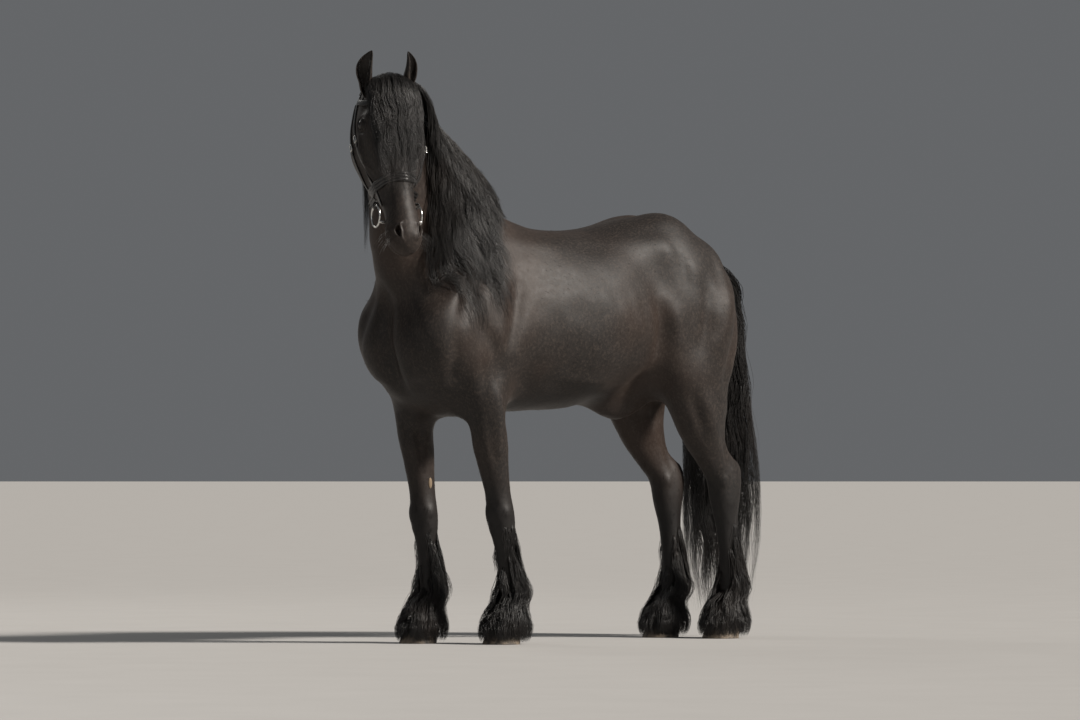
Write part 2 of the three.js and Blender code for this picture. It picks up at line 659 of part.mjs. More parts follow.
// The frame of each place on a path, turned no more than its neighbours' frames allow, and the place
// moved sideways by a wave.
function swayed(path, { sway, waves, phase }) {
  const last = path.length - 1;
  const near = (i) => path[Math.min(Math.max(i, 0), last)];
  return path.map(({ point }, i) => {
    const ahead = near(i + 1).point.clone().sub(near(i - 1).point).normalize();
    const mean = [-2, -1, 0, 1, 2].reduce((sum, k) => sum.add(near(i + k).normal), new THREE.Vector3());
    const flat = mean.addScaledVector(ahead, -mean.dot(ahead)).normalize();
    const across = flat.clone().cross(ahead);
    const t = i / last;
    const drift = sway * Math.sin(phase + 2 * Math.PI * waves * t) * Math.min(1, 3 * t);
    return { point: point.clone().addScaledVector(across, drift), across, flat, t };
  });
}

// A flat lock, low along its edges and raised along its middle, that narrows at its root and runs out
// to a tip.
function lock({ path, half, thick }) {
  const points = [];
  const faces = [];
  const last = path.length - 1;
  path.slice(0, last).forEach(({ point, across, flat, t }) => {
    const belly = 0.4 + 0.6 * Math.sin((Math.PI / 2) * Math.min(1, t / 0.45));
    const width = half * belly * (1 - 0.45 * t ** 2);
    const height = thick * (1 - 0.5 * t);
    for (const [x, y] of [[width, -height], [0, height], [-width, -height]]) {
      points.push(point.clone().addScaledVector(across, x).addScaledVector(flat, y));
    }
  });
  points.push(path[last].point);
  for (let i = 0; i + 1 < last; i++) {
    for (let j = 0; j < 3; j++) {
      const [a, b] = [3 * i + j, 3 * i + ((j + 1) % 3)];
      faces.push(a, b, a + 3, b, b + 3, a + 3);
    }
  }
  const end = 3 * (last - 1);
  for (let j = 0; j < 3; j++) faces.push(end + j, end + ((j + 1) % 3), points.length - 1);
  faces.push(0, 2, 1);
  return rightWayOut({ points, faces });
}
const locks = (made) => union(made.map(lock));

// The room a set of locks needs among others: the locks themselves, moved by the gap to each side.
function roomAround(made) {
  const moves = [];
  for (const axis of [X_AXIS, Y_AXIS, Z_AXIS]) {
    for (const by of [GAP, -GAP]) moves.push(axis.clone().multiplyScalar(by).toArray());
  }
  return union(moves.map((move) => made.translate(move)));
}

// The mane falls from the crest to the left in three layers, each lock over the gap between two below,
// with a few locks on the right beside the throat. Neighbours wave together.
function maneLocks(surface) {
  const draw = seeded(MANE.seed);
  const crest = sections(NECK, 8, Z_AXIS);
  const made = [];
  for (const layer of MANE.layers) {
    for (let i = 0; i < layer.count; i++) {
      const share = layer.after + (layer.until * (i + 0.5 + 0.3 * (draw() - 0.5))) / layer.count;
      const at = Math.round((MANE.from + (MANE.to - MANE.from) * share) * 8);
      const { middle, up, left, sizes } = crest[at];
      const root = middle.clone().addScaledVector(up, sizes[1] - 16);
      const start = up.clone().multiplyScalar(0.7).addScaledVector(left, layer.side * 0.95);
      const path = fall(surface, root, start, {
        length: layer.length * (0.42 + 0.58 * Math.min(1, 1.5 * share)) * (0.86 + 0.28 * draw()),
        steps: layer.steps,
        lift: layer.lift,
        stiff: 0.42,
        sway: 10 + 6 * draw(),
        waves: 1.5 + 0.3 * draw(),
        phase: 5 * share + 0.8 * draw() + layer.lift,
      });
      made.push({ path, half: layer.half * (0.88 + 0.24 * draw()), thick: layer.thick });
    }
  }
  return made;
}

// The forelock falls from between the ears over the whole face to the noseband.
function forelockLocks(surface) {
  const draw = seeded(FORELOCK.seed);
  const made = [];
  for (const layer of FORELOCK.layers) {
    for (let i = 0; i < layer.count; i++) {
      const share = ((i + 0.5) / layer.count) * 2 - 1;
      const root = inHead(16 - 10 * Math.abs(share), -46 - 10 * draw(), share * 42);
      const start = OFF_FACE.clone().addScaledVector(HEAD_LEFT, share * layer.spread);
      const path = fall(surface, root, start, {
        length: layer.length * (0.88 + 0.2 * draw()) * (1 - 0.18 * Math.abs(share)),
        steps: layer.steps,
        lift: layer.lift,
        stiff: 0.5,
        sway: 6 + 4 * draw(),
        waves: 1.4 + 0.2 * draw(),
        phase: 1.5 * share + 0.6 * draw() + layer.lift,
      });
      made.push({ path, half: layer.half * (0.88 + 0.24 * draw()), thick: layer.thick });
    }
  }
  return made;
}

// The tail's dock, with the packed hair round it for the first half of its length.
const dock = (grow = 0) => loft(DOCK, { sides: 10, steps: 1, ahead: TAIL_AHEAD, grow });

// Locks of the tail run down a long bundle, each at its own turn round it, in an inner and outer layer.
function tailLocks() {
  const draw = seeded(TAIL.seed);
  const fine = 8;
  const spine = sections(TAIL_BUNDLE, fine, TAIL_AHEAD);
  const made = [];
  for (const { count, share, from, half, thick, steps, turned } of TAIL.layers) {
    for (let i = 0; i < count; i++) {
      const turn = (2 * Math.PI * (i + turned + 0.25 * (draw() - 0.5))) / count;
      const first = (from + 0.9 * draw()) * fine;
      const last = (spine.length - 1) * (1 - 0.2 * draw() ** 1.5);
      const path = [...Array(steps + 1).keys()].map((k) => {
        const t = k / steps;
        const { middle, up, left, sizes } = spine[Math.round(first + (last - first) * t)];
        const open = k === 0 ? 0.25 : share * (0.92 + 0.16 * draw());
        const normal = up.clone().multiplyScalar(Math.sin(turn)).addScaledVector(left, Math.cos(turn));
        const point = middle.clone().addScaledVector(up, Math.sin(turn) * sizes[1] * open);
        return { point: point.addScaledVector(left, Math.cos(turn) * sizes[0] * open), normal };
      });
      const wave = { sway: 13 + 9 * draw(), waves: 1.4 + 1.2 * draw(), phase: 6.28 * draw() };
      made.push({ path: swayed(path, wave), half: half * (0.85 + 0.3 * draw()), thick });
    }
  }
  return made;
}

// Feathering: a few locks down the back of the cannon, then a bell of two layers that hangs from the
// fetlock, rounds over the hoof and draws in again above the floor.
function featherLocks(name) {
  const draw = seeded(FEATHER.seed + Object.keys(STANCE).indexOf(name));
  const shin = sections(legRows(STANCE[name]), 6, X_AXIS);
  const foot = shin[shin.length - 1].middle;
  const made = [];
  // The place on the leg at a height, at a turn round it, and `out` clear of its skin.
  const onLeg = (z, turn, out) => {
    const { middle, sizes } = shin.find((cut) => cut.middle.z <= z) ?? shin[shin.length - 1];
    const [across, ahead] = [Math.sin(turn), Math.cos(turn)];
    const x = (sizes[ahead > 0 ? 1 : 2] + out) * ahead;
    return new THREE.Vector3(middle.x + x, middle.y + (sizes[0] + out) * across, z);
  };
  const grow = (places, turn, half) => {
    const normal = new THREE.Vector3(Math.cos(turn), Math.sin(turn), 0);
    const wave = { sway: 4 + 3 * draw(), waves: 1.2, phase: 2 * turn + 0.8 * draw() };
    const path = places.map((point) => ({ point, normal }));
    made.push({ path: swayed(path, wave), half: half * (0.9 + 0.2 * draw()), thick: FEATHER.thick });
  };
  const high = name.startsWith("fore") ? FEATHER.foreTop : FEATHER.hindTop;
  for (let i = 0; i < FEATHER.back; i++) {
    const top = high - 45 * i;
    const turn = Math.PI + 0.7 * (i - 0.5);
    const reach = 26 + 6 * draw();
    const step = (top - 175 + 25 * draw()) / 4;
    const out = (k) => (k === 0 ? -8 : 6 + (reach * k) / 4);
    const places = [0, 1, 2, 3, 4].map((k) => onLeg(top - step * k, turn, out(k)));
    grow(places, turn, 21);
  }
  for (const { turns, clear, half } of FEATHER.bells) {
    for (const degrees of turns) {
      const turn = radians(degrees + 8 * (draw() - 0.5));
      const behind = 0.5 - 0.5 * Math.cos(turn);
      const ahead = Math.cos(turn) * (Math.cos(turn) > 0 ? 58 : 78);
      const [heel, flank] = [foot.x + 10 + ahead, Math.sin(turn)];
      const round = (z, out) =>
        new THREE.Vector3(heel + Math.cos(turn) * out, foot.y + flank * (60 + out), z);
      const places = [
        onLeg(190 + 70 * behind, turn, -8),
        onLeg(150 + 30 * behind, turn, 0.8 * clear),
        round(98, clear - 2),
        round(44, clear + 6),
        round(FEATHER.floor + 10 * draw(), clear - 4),
      ];
      grow(places, turn, half);
    }
  }
  return made;
}

const root = new THREE.Group();
function geometryOf(made) {
  const { vertProperties, triVerts } = made.getMesh();
  return new THREE.BufferGeometry()
    .setAttribute("position", new THREE.BufferAttribute(new Float32Array(vertProperties), 3))
    .setIndex(new THREE.BufferAttribute(new Uint32Array(triVerts), 1));
}
function node(name, made, material) {
  const whole = largest(solidOf(geometryOf(largest(made))));
  const geometry = geometryOf(whole);
  geometry.computeVertexNormals();
  const mesh = new THREE.Mesh(geometry, material);
  mesh.name = name;
  root.add(mesh);
}

const trunkRoom = trunk(GAP);
const skullRoom = skull(GAP);
const headGear = Object.values(rooms);
const earRooms = [1, -1].map((side) => ear(side, 1));
const bodySkin = surfaceOf([neck(), trunk(), skull(16)]);
const forelock = forelockLocks(surfaceOf([skull()]));

node("torso", trunk(), COAT);
const fringe = cutBy(locks(forelock), [...headGear, ...earRooms, neck(GAP).subtract(skull())]);
const maned = union([neck(), locks(maneLocks(bodySkin))]);
node("neck", cutBy(maned, [trunkRoom, skullRoom, roomAround(fringe), ...earRooms, ...headGear]), COAT);
node("head", cutBy(union([headFlesh(), fringe]), [bit(GAP), eyeball(1, GAP), eyeball(-1, GAP)]), COAT);
for (const [side, word] of [[1, "left"], [-1, "right"]]) {
  node("eye_" + word, eyeball(side), EYE);
  node("ear_" + word, cutBy(ear(side), [skullRoom, neck(GAP), ...headGear]), COAT);
}
const behindRooms = [trunkRoom];
for (const name of Object.keys(STANCE)) {
  const whole = cutBy(leg(name), [trunkRoom]);
  const cut = KNEE_CUT[name.split("_")[0]];
  const feathers = featherLocks(name);
  node("upper_leg_" + name, whole.trimByPlane([0, 0, 1], cut + GAP / 2), COAT);
  const lower = union([whole.trimByPlane([0, 0, -1], GAP / 2 - cut), locks(feathers)]);
  node("lower_leg_" + name, cutBy(lower, [hoof(name, GAP)]), COAT);
  node("hoof_" + name, hoof(name), HORN);
  if (name.startsWith("hind")) {
    behindRooms.push(leg(name, GAP), roomAround(locks(feathers)));
  }
}
node("tail", cutBy(union([dock(), locks(tailLocks())]), behindRooms), HAIR);
node("headstall", cutBy(headstall(), [bit(GAP)]), LEATHER);
const stallRooms = [rooms.cheek, rooms.hanger, rooms.crown];
node("browband", cutBy(strap(...STRAPS.brow), stallRooms), LEATHER);
node("noseband", cutBy(strap(...STRAPS.nose), stallRooms), LEATHER);
node("throatlash", cutBy(strap(...STRAPS.throat), stallRooms), LEATHER);
node("bit", bit(), STEEL);

// The model's origin is the middle of its bounding box, on the floor.
const box = new THREE.Box3().setFromObject(root);
for (const mesh of root.children) {
  mesh.geometry.translate(-(box.min.x + box.max.x) / 2, -(box.min.y + box.max.y) / 2, -box.min.z);
}

export default root;
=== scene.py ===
# %% [markdown]
# # A black Friesian horse, life size and still
# The model is one skin made from smooth lofts, with sculpted muscle and a detailed head, and with
# many thousands of solid hair strands for mane, forelock, tail and feathering. Over it lies a bridle.
# Each cell makes one piece and says how it could be made by hand and why this way was taken.

# %% Start
import json
import math

import bmesh
import bpy
import numpy as np
from mathutils import Matrix, Vector
from mathutils.bvhtree import BVHTree

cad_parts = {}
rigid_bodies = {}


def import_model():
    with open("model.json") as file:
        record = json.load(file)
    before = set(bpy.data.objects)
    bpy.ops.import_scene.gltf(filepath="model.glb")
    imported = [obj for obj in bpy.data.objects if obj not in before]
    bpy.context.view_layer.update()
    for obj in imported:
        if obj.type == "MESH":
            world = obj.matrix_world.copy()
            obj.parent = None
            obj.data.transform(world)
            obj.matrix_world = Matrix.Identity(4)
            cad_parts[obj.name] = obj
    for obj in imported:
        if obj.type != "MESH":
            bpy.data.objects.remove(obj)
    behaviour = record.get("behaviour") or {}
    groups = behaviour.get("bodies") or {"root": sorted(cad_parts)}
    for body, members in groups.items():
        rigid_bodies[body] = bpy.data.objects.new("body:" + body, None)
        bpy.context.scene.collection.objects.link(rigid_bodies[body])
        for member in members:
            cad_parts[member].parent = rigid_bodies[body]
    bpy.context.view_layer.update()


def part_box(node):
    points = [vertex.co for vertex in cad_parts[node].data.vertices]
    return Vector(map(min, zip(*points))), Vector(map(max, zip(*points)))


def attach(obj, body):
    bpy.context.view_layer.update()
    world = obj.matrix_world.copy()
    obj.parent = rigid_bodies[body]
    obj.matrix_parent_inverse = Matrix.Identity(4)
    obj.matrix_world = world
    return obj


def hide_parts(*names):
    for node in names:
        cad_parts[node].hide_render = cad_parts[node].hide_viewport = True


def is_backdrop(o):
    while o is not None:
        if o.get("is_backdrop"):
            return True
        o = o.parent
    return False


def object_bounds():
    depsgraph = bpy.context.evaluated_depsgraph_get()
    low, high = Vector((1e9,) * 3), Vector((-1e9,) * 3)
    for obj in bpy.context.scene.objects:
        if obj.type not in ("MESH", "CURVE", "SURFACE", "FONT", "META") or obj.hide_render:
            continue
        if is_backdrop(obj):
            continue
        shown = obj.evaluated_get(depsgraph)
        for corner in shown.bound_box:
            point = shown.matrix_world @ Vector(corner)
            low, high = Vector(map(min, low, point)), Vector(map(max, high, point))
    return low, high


for leftover in list(bpy.data.objects):  # the cube, lamp and camera of a new file
    bpy.data.objects.remove(leftover)
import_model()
scene = bpy.context.scene


def rounded(values, digits=3):
    return tuple(round(float(v), digits) for v in values)


# %% [markdown]
# ## Where the body stands
# All tables below use the horse's own frame in millimetres: X to the front of the body, Y to its left,
# Z up. The finished file has its origin under the middle of its box instead, so one shift leads from
# one frame to the other. A hoof whose place is known in both frames gives that shift.

# %% The shift between the two frames
HOOF_MIDDLE = np.array([0.6666, -0.150])  # the right fore hoof in the body's frame, in metres
hoof_low, hoof_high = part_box("hoof_fore_right")
shift = np.array([
    (hoof_low.x + hoof_high.x) / 2 - HOOF_MIDDLE[0],
    (hoof_low.y + hoof_high.y) / 2 - HOOF_MIDDLE[1],
    0.0,
])


def placed(points_mm):
    """Points of the body's frame in millimetres, as metres in the model's frame."""
    return np.asarray(points_mm, float) * 0.001 + shift


print("shift of the body's frame:", shift.round(4))

# %% [markdown]
# ## The camera first
# The photo was taken with a long lens from the left front, from about 23 m away and at chest height.
# A long lens flattens depth, so the distance matters as much as the angle. The camera comes first so
# that every later piece can be judged in the photo's own view.

# %% Camera
VIEW_TURN, VIEW_TILT = math.radians(41.0), math.radians(0.96)
CAMERA_PLACE = [15364.0, 17465.0, 698.0]
LENS_MM, SENSOR_MM = 200.0, 36.0

level = math.cos(VIEW_TILT)
look = Vector((-math.sin(VIEW_TURN) * level, -math.cos(VIEW_TURN) * level, math.sin(VIEW_TILT)))
camera = bpy.data.objects.new("camera", bpy.data.cameras.new("camera"))
scene.collection.objects.link(camera)
camera.data.lens, camera.data.sensor_width = LENS_MM, SENSOR_MM
camera.data.clip_end = 200.0
camera.location = placed(CAMERA_PLACE)
camera.rotation_mode = "QUATERNION"
camera.rotation_quaternion = look.to_track_quat("-Z", "Y")
scene.camera = camera
print("camera at", rounded(camera.location, 2), "looking along", rounded(look))

# %% [markdown]
# ## Lofts: a body as stations and smooth curves between them
# A sculptor thinks of a horse as masses in a row. Here each mass is a table of stations, and each
# station a centre, a half width, a reach ahead and behind, and how square each half is. A cubic
# through each column of the table gives as many sections as needed. In the viewport one could skin
# the same rings by hand with bridged circles, but numbers keep both sides alike.

# %% Smooth tables
def smoothed(rows, steps):
    """Cubic through each column of a table, at `steps` places between two rows."""
    rows = np.asarray(rows, float)
    at = np.r_[0, np.cumsum(np.linalg.norm(np.diff(rows[:, :3], axis=0), axis=1))]
    low, high = np.maximum(np.arange(len(rows)) - 1, 0), np.minimum(np.arange(len(rows)) + 1, len(rows) - 1)
    slope = (rows[high] - rows[low]) / (at[high] - at[low])[:, None]
    t = (np.arange(steps) / steps)[None, :, None]
    span = np.diff(at)[:, None, None]
    a, b, sa, sb = rows[:-1, None], rows[1:, None], slope[:-1, None], slope[1:, None]
    out = ((2 * t**3 - 3 * t**2 + 1) * a + (t**3 - 2 * t**2 + t) * span * sa
           + (3 * t**2 - 2 * t**3) * b + (t**3 - t**2) * span * sb)
    return np.vstack([out.reshape(-1, rows.shape[1]), rows[-1:]])


def unit(v):
    return v / np.maximum(np.linalg.norm(v, axis=-1, keepdims=True), 1e-12)


X_WAY, Z_WAY = np.array([1.0, 0, 0]), np.array([0, 0, 1.0])
print("three rows become", len(smoothed([[0, 0, 0], [1, 0, 0], [2, 1, 0]], 8)), "places")

# %% [markdown]
# A section is a superellipse: power 2 is an ellipse, and a higher power is squarer. The rings of all
# sections are bridged with quads and closed with a fan at each end, so that every loft is one closed
# body, which the remesher needs.

# %% Sections and lofts
def sections(rows, steps, ahead, travel=None):
    """Middle, way along, way ahead and way left of every section, and its sizes."""
    fine = smoothed(rows, steps)
    middle = fine[:, :3]
    along = np.gradient(middle, axis=0) if travel is None else np.tile(travel, (len(fine), 1))
    along = unit(along)
    up = unit(ahead - along * (along @ ahead)[:, None])
    return middle, along, up, np.cross(up, along), fine[:, 3:]


def loft(rows, sides, steps, ahead, travel=None, grow=0.0):
    """A closed mesh (points in millimetres, faces) through a table's sections."""
    middle, along, up, left, size = sections(rows, steps, np.asarray(ahead, float), travel)
    angle = 2 * np.pi * (np.arange(sides) + 0.5) / sides
    c, s = np.cos(angle)[None], np.sin(angle)[None]
    front = s >= 0
    power = np.where(front, size[:, 3:4], size[:, 4:5])
    reach = np.where(front, size[:, 1:2], size[:, 2:3]) + grow
    across = (size[:, 0:1] + grow) * np.sign(c) * np.abs(c) ** (2 / power)
    rise = reach * np.sign(s) * np.abs(s) ** (2 / power)
    ring = middle[:, None] + across[..., None] * left[:, None] + rise[..., None] * up[:, None]
    count = len(middle)
    points = np.vstack([ring.reshape(-1, 3), middle[:1], middle[-1:]])
    i, j = np.meshgrid(np.arange(count - 1), np.arange(sides), indexing="ij")
    k = (j + 1) % sides
    quads = np.stack([i * sides + j, i * sides + k, (i + 1) * sides + k, (i + 1) * sides + j], -1)
    j, k = np.arange(sides), (np.arange(sides) + 1) % sides
    foot, tip, end = np.full(sides, count * sides), np.full(sides, count * sides + 1), (count - 1) * sides
    caps = np.vstack([np.stack([foot, k, j], -1), np.stack([tip, end + j, end + k], -1)])
    return points, quads.reshape(-1, 4).tolist() + caps.tolist()


def mesh_object(name, points, faces):
    """A new object from points in metres and lists of corners."""
    mesh = bpy.data.meshes.new(name)
    mesh.from_pydata(np.asarray(points).tolist(), [], faces)
    mesh.update()
    made = bpy.data.objects.new(name, mesh)
    scene.collection.objects.link(made)
    return made


def pick(*objects):
    """Select these objects alone, and make the first one active."""
    bpy.ops.object.select_all(action="DESELECT")
    for obj in objects:
        obj.select_set(True)
    bpy.context.view_layer.objects.active = objects[0]


def stands_for(piece, slot, *nodes):
    """The piece rides on the body and takes the place of these solids; the slot is not used."""
    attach(piece, "root")
    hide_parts(*nodes)
    return piece


rod = loft([[0, 0, 0, 5, 5, 5, 2, 2], [0, 0, 90, 5, 5, 5, 2, 2]], 12, 4, X_WAY)
print("a plain rod:", len(rod[1]), "faces")

# %% [markdown]
# ## The stations
# Widths and heights were read off the photo with the camera above, and what it hides follows the
# breed: a deep, round trunk, a double rump with a groove along it, and a high, arched neck.

# %% Stations of trunk, neck and head
# Centre, half width, reach ahead and behind, and how square the front and the back half are.
TRUNK = [
    [-752, 0, 1300, 40, 45, 60, 2, 2], [-730, 0, 1300, 112, 105, 130, 2.1, 2],
    [-675, 0, 1300, 180, 195, 230, 2.1, 2.1], [-590, 0, 1292, 236, 278, 300, 2.1, 2.2],
    [-480, 0, 1288, 274, 345, 325, 2.2, 2.2], [-370, 0, 1285, 286, 382, 310, 2.3, 2.2],
    [-240, 0, 1265, 285, 393, 255, 2.2, 2.1], [-90, 0, 1235, 297, 382, 300, 2.0, 2.1],
    [90, 0, 1215, 308, 376, 320, 2.0, 2.1], [260, 0, 1210, 300, 392, 322, 1.9, 2.1],
    [410, 0, 1215, 278, 418, 335, 1.75, 2.1], [550, 0, 1215, 262, 385, 350, 1.8, 2.2],
    [690, 0, 1215, 262, 310, 352, 2.0, 2.3], [800, 0, 1210, 262, 235, 300, 2.2, 2.5],
    [880, 0, 1205, 235, 165, 232, 2.3, 2.5], [930, 0, 1205, 178, 110, 155, 2.3, 2.4],
    [955, 0, 1205, 85, 55, 75, 2, 2],
]
NECK = [
    [480, 0, 1300, 210, 275, 300, 2, 2.2], [610, 0, 1420, 198, 288, 325, 1.9, 2.2],
    [730, 5, 1550, 170, 302, 322, 1.8, 2.2], [835, 26, 1685, 142, 294, 278, 1.7, 2.2],
    [928, 66, 1815, 118, 262, 236, 1.7, 2.1], [1005, 120, 1925, 100, 210, 170, 1.8, 2.1],
    [1062, 172, 2005, 88, 158, 138, 2, 2], [1105, 206, 2050, 74, 98, 105, 2, 2],
]
# The head in its own frame: down the face, half width, middle, face and jaw behind the face line.
SKULL = [
    [-22, 30, 75, 20, 120, 2, 2], [-8, 60, 80, 2, 162, 2, 2], [30, 82, 90, -8, 196, 2.2, 2.1],
    [80, 99, 94, -14, 228, 2.3, 2.3], [120, 109, 92, -15, 256, 2.4, 2.4], [152, 115, 91, -14, 274, 2.4, 2.5],
    [185, 118, 90, -12, 288, 2.5, 2.6], [235, 113, 90, -7, 301, 2.4, 2.8], [295, 100, 90, -3, 297, 2.3, 2.8],
    [355, 84, 86, 0, 262, 2.2, 2.7], [418, 69, 78, 1, 208, 2.2, 2.5], [488, 60, 74, 2, 165, 2.2, 2.3],
    [552, 63, 70, 2, 146, 2.2, 2.3], [600, 67, 66, 4, 142, 2.3, 2.4], [640, 64, 68, 12, 135, 2.3, 2.4],
    [668, 51, 73, 29, 120, 2.2, 2.2], [686, 24, 78, 54, 98, 2, 2],
]
print("stations:", len(TRUNK), "trunk,", len(NECK), "neck,", len(SKULL), "head")

# %% [markdown]
# One table serves both forelegs and one both hind legs, as if each stood plumb. A leg in the photo's
# stance is the same table leaned forward or back below a height of its own, so that the joints keep
# their lengths. The breed has strong, short cannons and broad hocks.

# %% Stations of the legs
FORELEG = [
    [668, 140, 1210, 85, 120, 130, 2, 2], [668, 158, 1090, 98, 126, 150, 2, 2],
    [664, 176, 980, 88, 104, 116, 2.1, 2], [660, 182, 885, 78, 90, 82, 2.1, 2.1],
    [652, 178, 780, 68, 80, 74, 2.1, 2.1], [641, 172, 665, 57, 64, 60, 2.1, 2.1],
    [630, 167, 565, 50, 52, 54, 2.2, 2.2], [628, 165, 505, 57, 60, 58, 2.4, 2.3],
    [624, 162, 450, 54, 55, 58, 2.4, 2.2], [620, 159, 395, 43, 43, 53, 2.3, 2.1],
    [614, 155, 300, 37, 40, 52, 2.2, 2.1], [608, 152, 205, 40, 42, 57, 2.2, 2.1],
    [602, 150, 148, 44, 46, 60, 2.2, 2.1], [622, 150, 106, 41, 42, 46, 2.2, 2.1],
    [640, 150, 78, 50, 48, 50, 2.1, 2.1],
]
HINDLEG = [
    [-465, 148, 1390, 125, 170, 180, 2, 2], [-462, 162, 1260, 135, 205, 212, 2, 2],
    [-456, 172, 1120, 122, 195, 202, 2, 2.1], [-458, 178, 1000, 102, 165, 176, 2.1, 2.1],
    [-482, 178, 900, 88, 128, 142, 2.1, 2.1], [-520, 170, 800, 73, 100, 98, 2.1, 2.1],
    [-570, 160, 705, 57, 72, 76, 2.2, 2], [-608, 150, 645, 52, 60, 100, 2.3, 1.9],
    [-626, 145, 600, 54, 64, 102, 2.4, 1.9], [-638, 142, 540, 54, 64, 74, 2.4, 2],
    [-646, 138, 470, 45, 52, 58, 2.3, 2], [-656, 132, 380, 39, 45, 51, 2.2, 2.1],
    [-666, 128, 270, 38, 45, 54, 2.2, 2.1], [-672, 125, 195, 43, 48, 60, 2.2, 2.1],
    [-672, 124, 148, 45, 50, 62, 2.2, 2.1], [-655, 124, 106, 42, 44, 46, 2.2, 2.1],
    [-638, 124, 78, 50, 48, 50, 2.1, 2.1],
]
# Table, side, how far the foot stands ahead, and the height where that lean begins.
STANCE = {
    "fore_left": (FORELEG, 1, -168, 1250), "fore_right": (FORELEG, -1, 5, 1050),
    "hind_left": (HINDLEG, 1, -40, 900), "hind_right": (HINDLEG, -1, 62, 1000),
}


def leg_rows(name):
    table, side, lean, start = STANCE[name]
    rows = np.array(table, float)
    rows[:, 0] += lean * np.maximum(0, (start - rows[:, 2]) / start)
    rows[:, 1] *= side
    return rows


print("feet stand at", {name: rounded(leg_rows(name)[-1, :2], 0) for name in STANCE})

# %% [markdown]
# ## The head's own frame
# The head is turned to the horse's left and hangs from the poll. Everything on it is easier to say
# as a distance down the face, off the face and to the head's left.

# %% Head frame
POLL = np.array([1118.0, 222.0, 2128.0])
HEAD_TURN, FACE_SLOPE = math.radians(73), math.radians(20)
FACING = np.array([math.cos(HEAD_TURN), math.sin(HEAD_TURN), 0.0])
DOWN_FACE = FACING * math.sin(FACE_SLOPE) - Z_WAY * math.cos(FACE_SLOPE)
OFF_FACE = FACING * math.cos(FACE_SLOPE) + Z_WAY * math.sin(FACE_SLOPE)
HEAD_LEFT = np.cross(OFF_FACE, DOWN_FACE)


def in_head(down, off, left):
    """A place of the head's frame in the body's frame."""
    parts = [np.asarray(v, float)[..., None] for v in (down, off, left)]
    return POLL + parts[0] * DOWN_FACE + parts[1] * OFF_FACE + parts[2] * HEAD_LEFT


def skull_rows():
    rows = np.array(SKULL, float)
    down, side, middle, face, jaw = rows[:, :5].T
    centre = in_head(down, -middle, 0 * down)
    return np.column_stack([centre, side, middle - face, jaw - middle, rows[:, 5:]])


print("the face points along", FACING.round(3))

# %% [markdown]
# ## One skin from many lofts
# The lofts are sunk into one another and remeshed into a single surface with even quads, as a
# sculptor would do with the voxel remesher. The skin lies a few millimetres inside the outline,
# because the coat's hair adds that much again. The fold of skin that a stallion carries under the
# belly is one more loft, and its rows reach far up so that no gap stays between it and the belly.

# %% Skin blank
COAT_DEPTH, LEG_COAT_DEPTH, THIN_COAT_DEPTH = 4.0, 3.0, 2.0
VOXEL = 0.0145

SHEATH = [
    [60, 0, 960, 20, 30, 30, 2, 2], [-20, 0, 935, 52, 60, 34, 2, 2], [-120, 0, 918, 62, 90, 44, 2, 2],
    [-205, 0, 905, 62, 120, 52, 2, 2], [-262, 0, 914, 72, 150, 50, 2, 2], [-330, 0, 945, 84, 170, 46, 2, 2],
    [-400, 0, 990, 84, 160, 40, 2, 2],
]
blanks = [
    loft(TRUNK, 72, 6, Z_WAY, X_WAY, -COAT_DEPTH),
    loft(NECK, 64, 10, Z_WAY, None, -COAT_DEPTH),
    loft(skull_rows(), 64, 8, OFF_FACE, DOWN_FACE, -THIN_COAT_DEPTH),
]
blanks += [loft(leg_rows(name), 40, 8, X_WAY, None, -LEG_COAT_DEPTH) for name in STANCE]
blanks.append(loft(SHEATH, 32, 8, Z_WAY, X_WAY, -THIN_COAT_DEPTH))
parts = [mesh_object("blank", placed(points), faces) for points, faces in blanks]
pick(*parts)
bpy.ops.object.join()
skin = parts[0]
skin.name = skin.data.name = "skin"
skin.data.remesh_voxel_size = VOXEL
skin.data.remesh_voxel_adaptivity = 0.0
bpy.ops.object.voxel_remesh()
print("blank skin:", len(skin.data.polygons), "faces")

# %% [markdown]
# ## Brushes of our own
# A sculpting brush reads the points near it, moves them and writes them back. With whole arrays the
# same work is done at once for all points: the mean of each point's neighbours is what a smooth brush
# moves it to, and the normals are the way that a draw brush lifts it.

# %% Read, write and relax a mesh
def read_points(obj):
    points = np.empty(len(obj.data.vertices) * 3)
    obj.data.vertices.foreach_get("co", points)
    return points.reshape(-1, 3)


def write_points(obj, points):
    obj.data.vertices.foreach_set("co", np.ascontiguousarray(points, np.float32).ravel())
    obj.data.update()


def read_edges(obj):
    edges = np.empty(len(obj.data.edges) * 2, np.int32)
    obj.data.edges.foreach_get("vertices", edges)
    return edges.reshape(-1, 2)


def read_normals(obj):
    normals = np.empty(len(obj.data.vertices) * 3, np.float32)
    obj.data.vertex_normals.foreach_get("vector", normals)
    return normals.reshape(-1, 3).astype(float)


def neighbour_mean(values, edges, count):
    a, b = edges.T
    total = np.stack([
        np.bincount(a, values[b, k], count) + np.bincount(b, values[a, k], count)
        for k in range(values.shape[1])
    ], -1)
    return total / np.bincount(edges.ravel(), minlength=count)[:, None]


def relax(points, edges, rounds, weight=1.0):
    weight = np.broadcast_to(weight, len(points))[:, None] * 0.7
    for _ in range(rounds):
        points = points + weight * (neighbour_mean(points, edges, len(points)) - points)
    return points


def in_body(points):
    """Points in metres of the model's frame, as millimetres of the body's frame."""
    return (points - shift) * 1000


def head_places(points_mm):
    """Down the face, off it, and to the head's left, for points of the body's frame."""
    away = points_mm - POLL
    return away @ DOWN_FACE, away @ OFF_FACE, away @ HEAD_LEFT


edges = read_edges(skin)
print("edges of the blank:", len(edges))

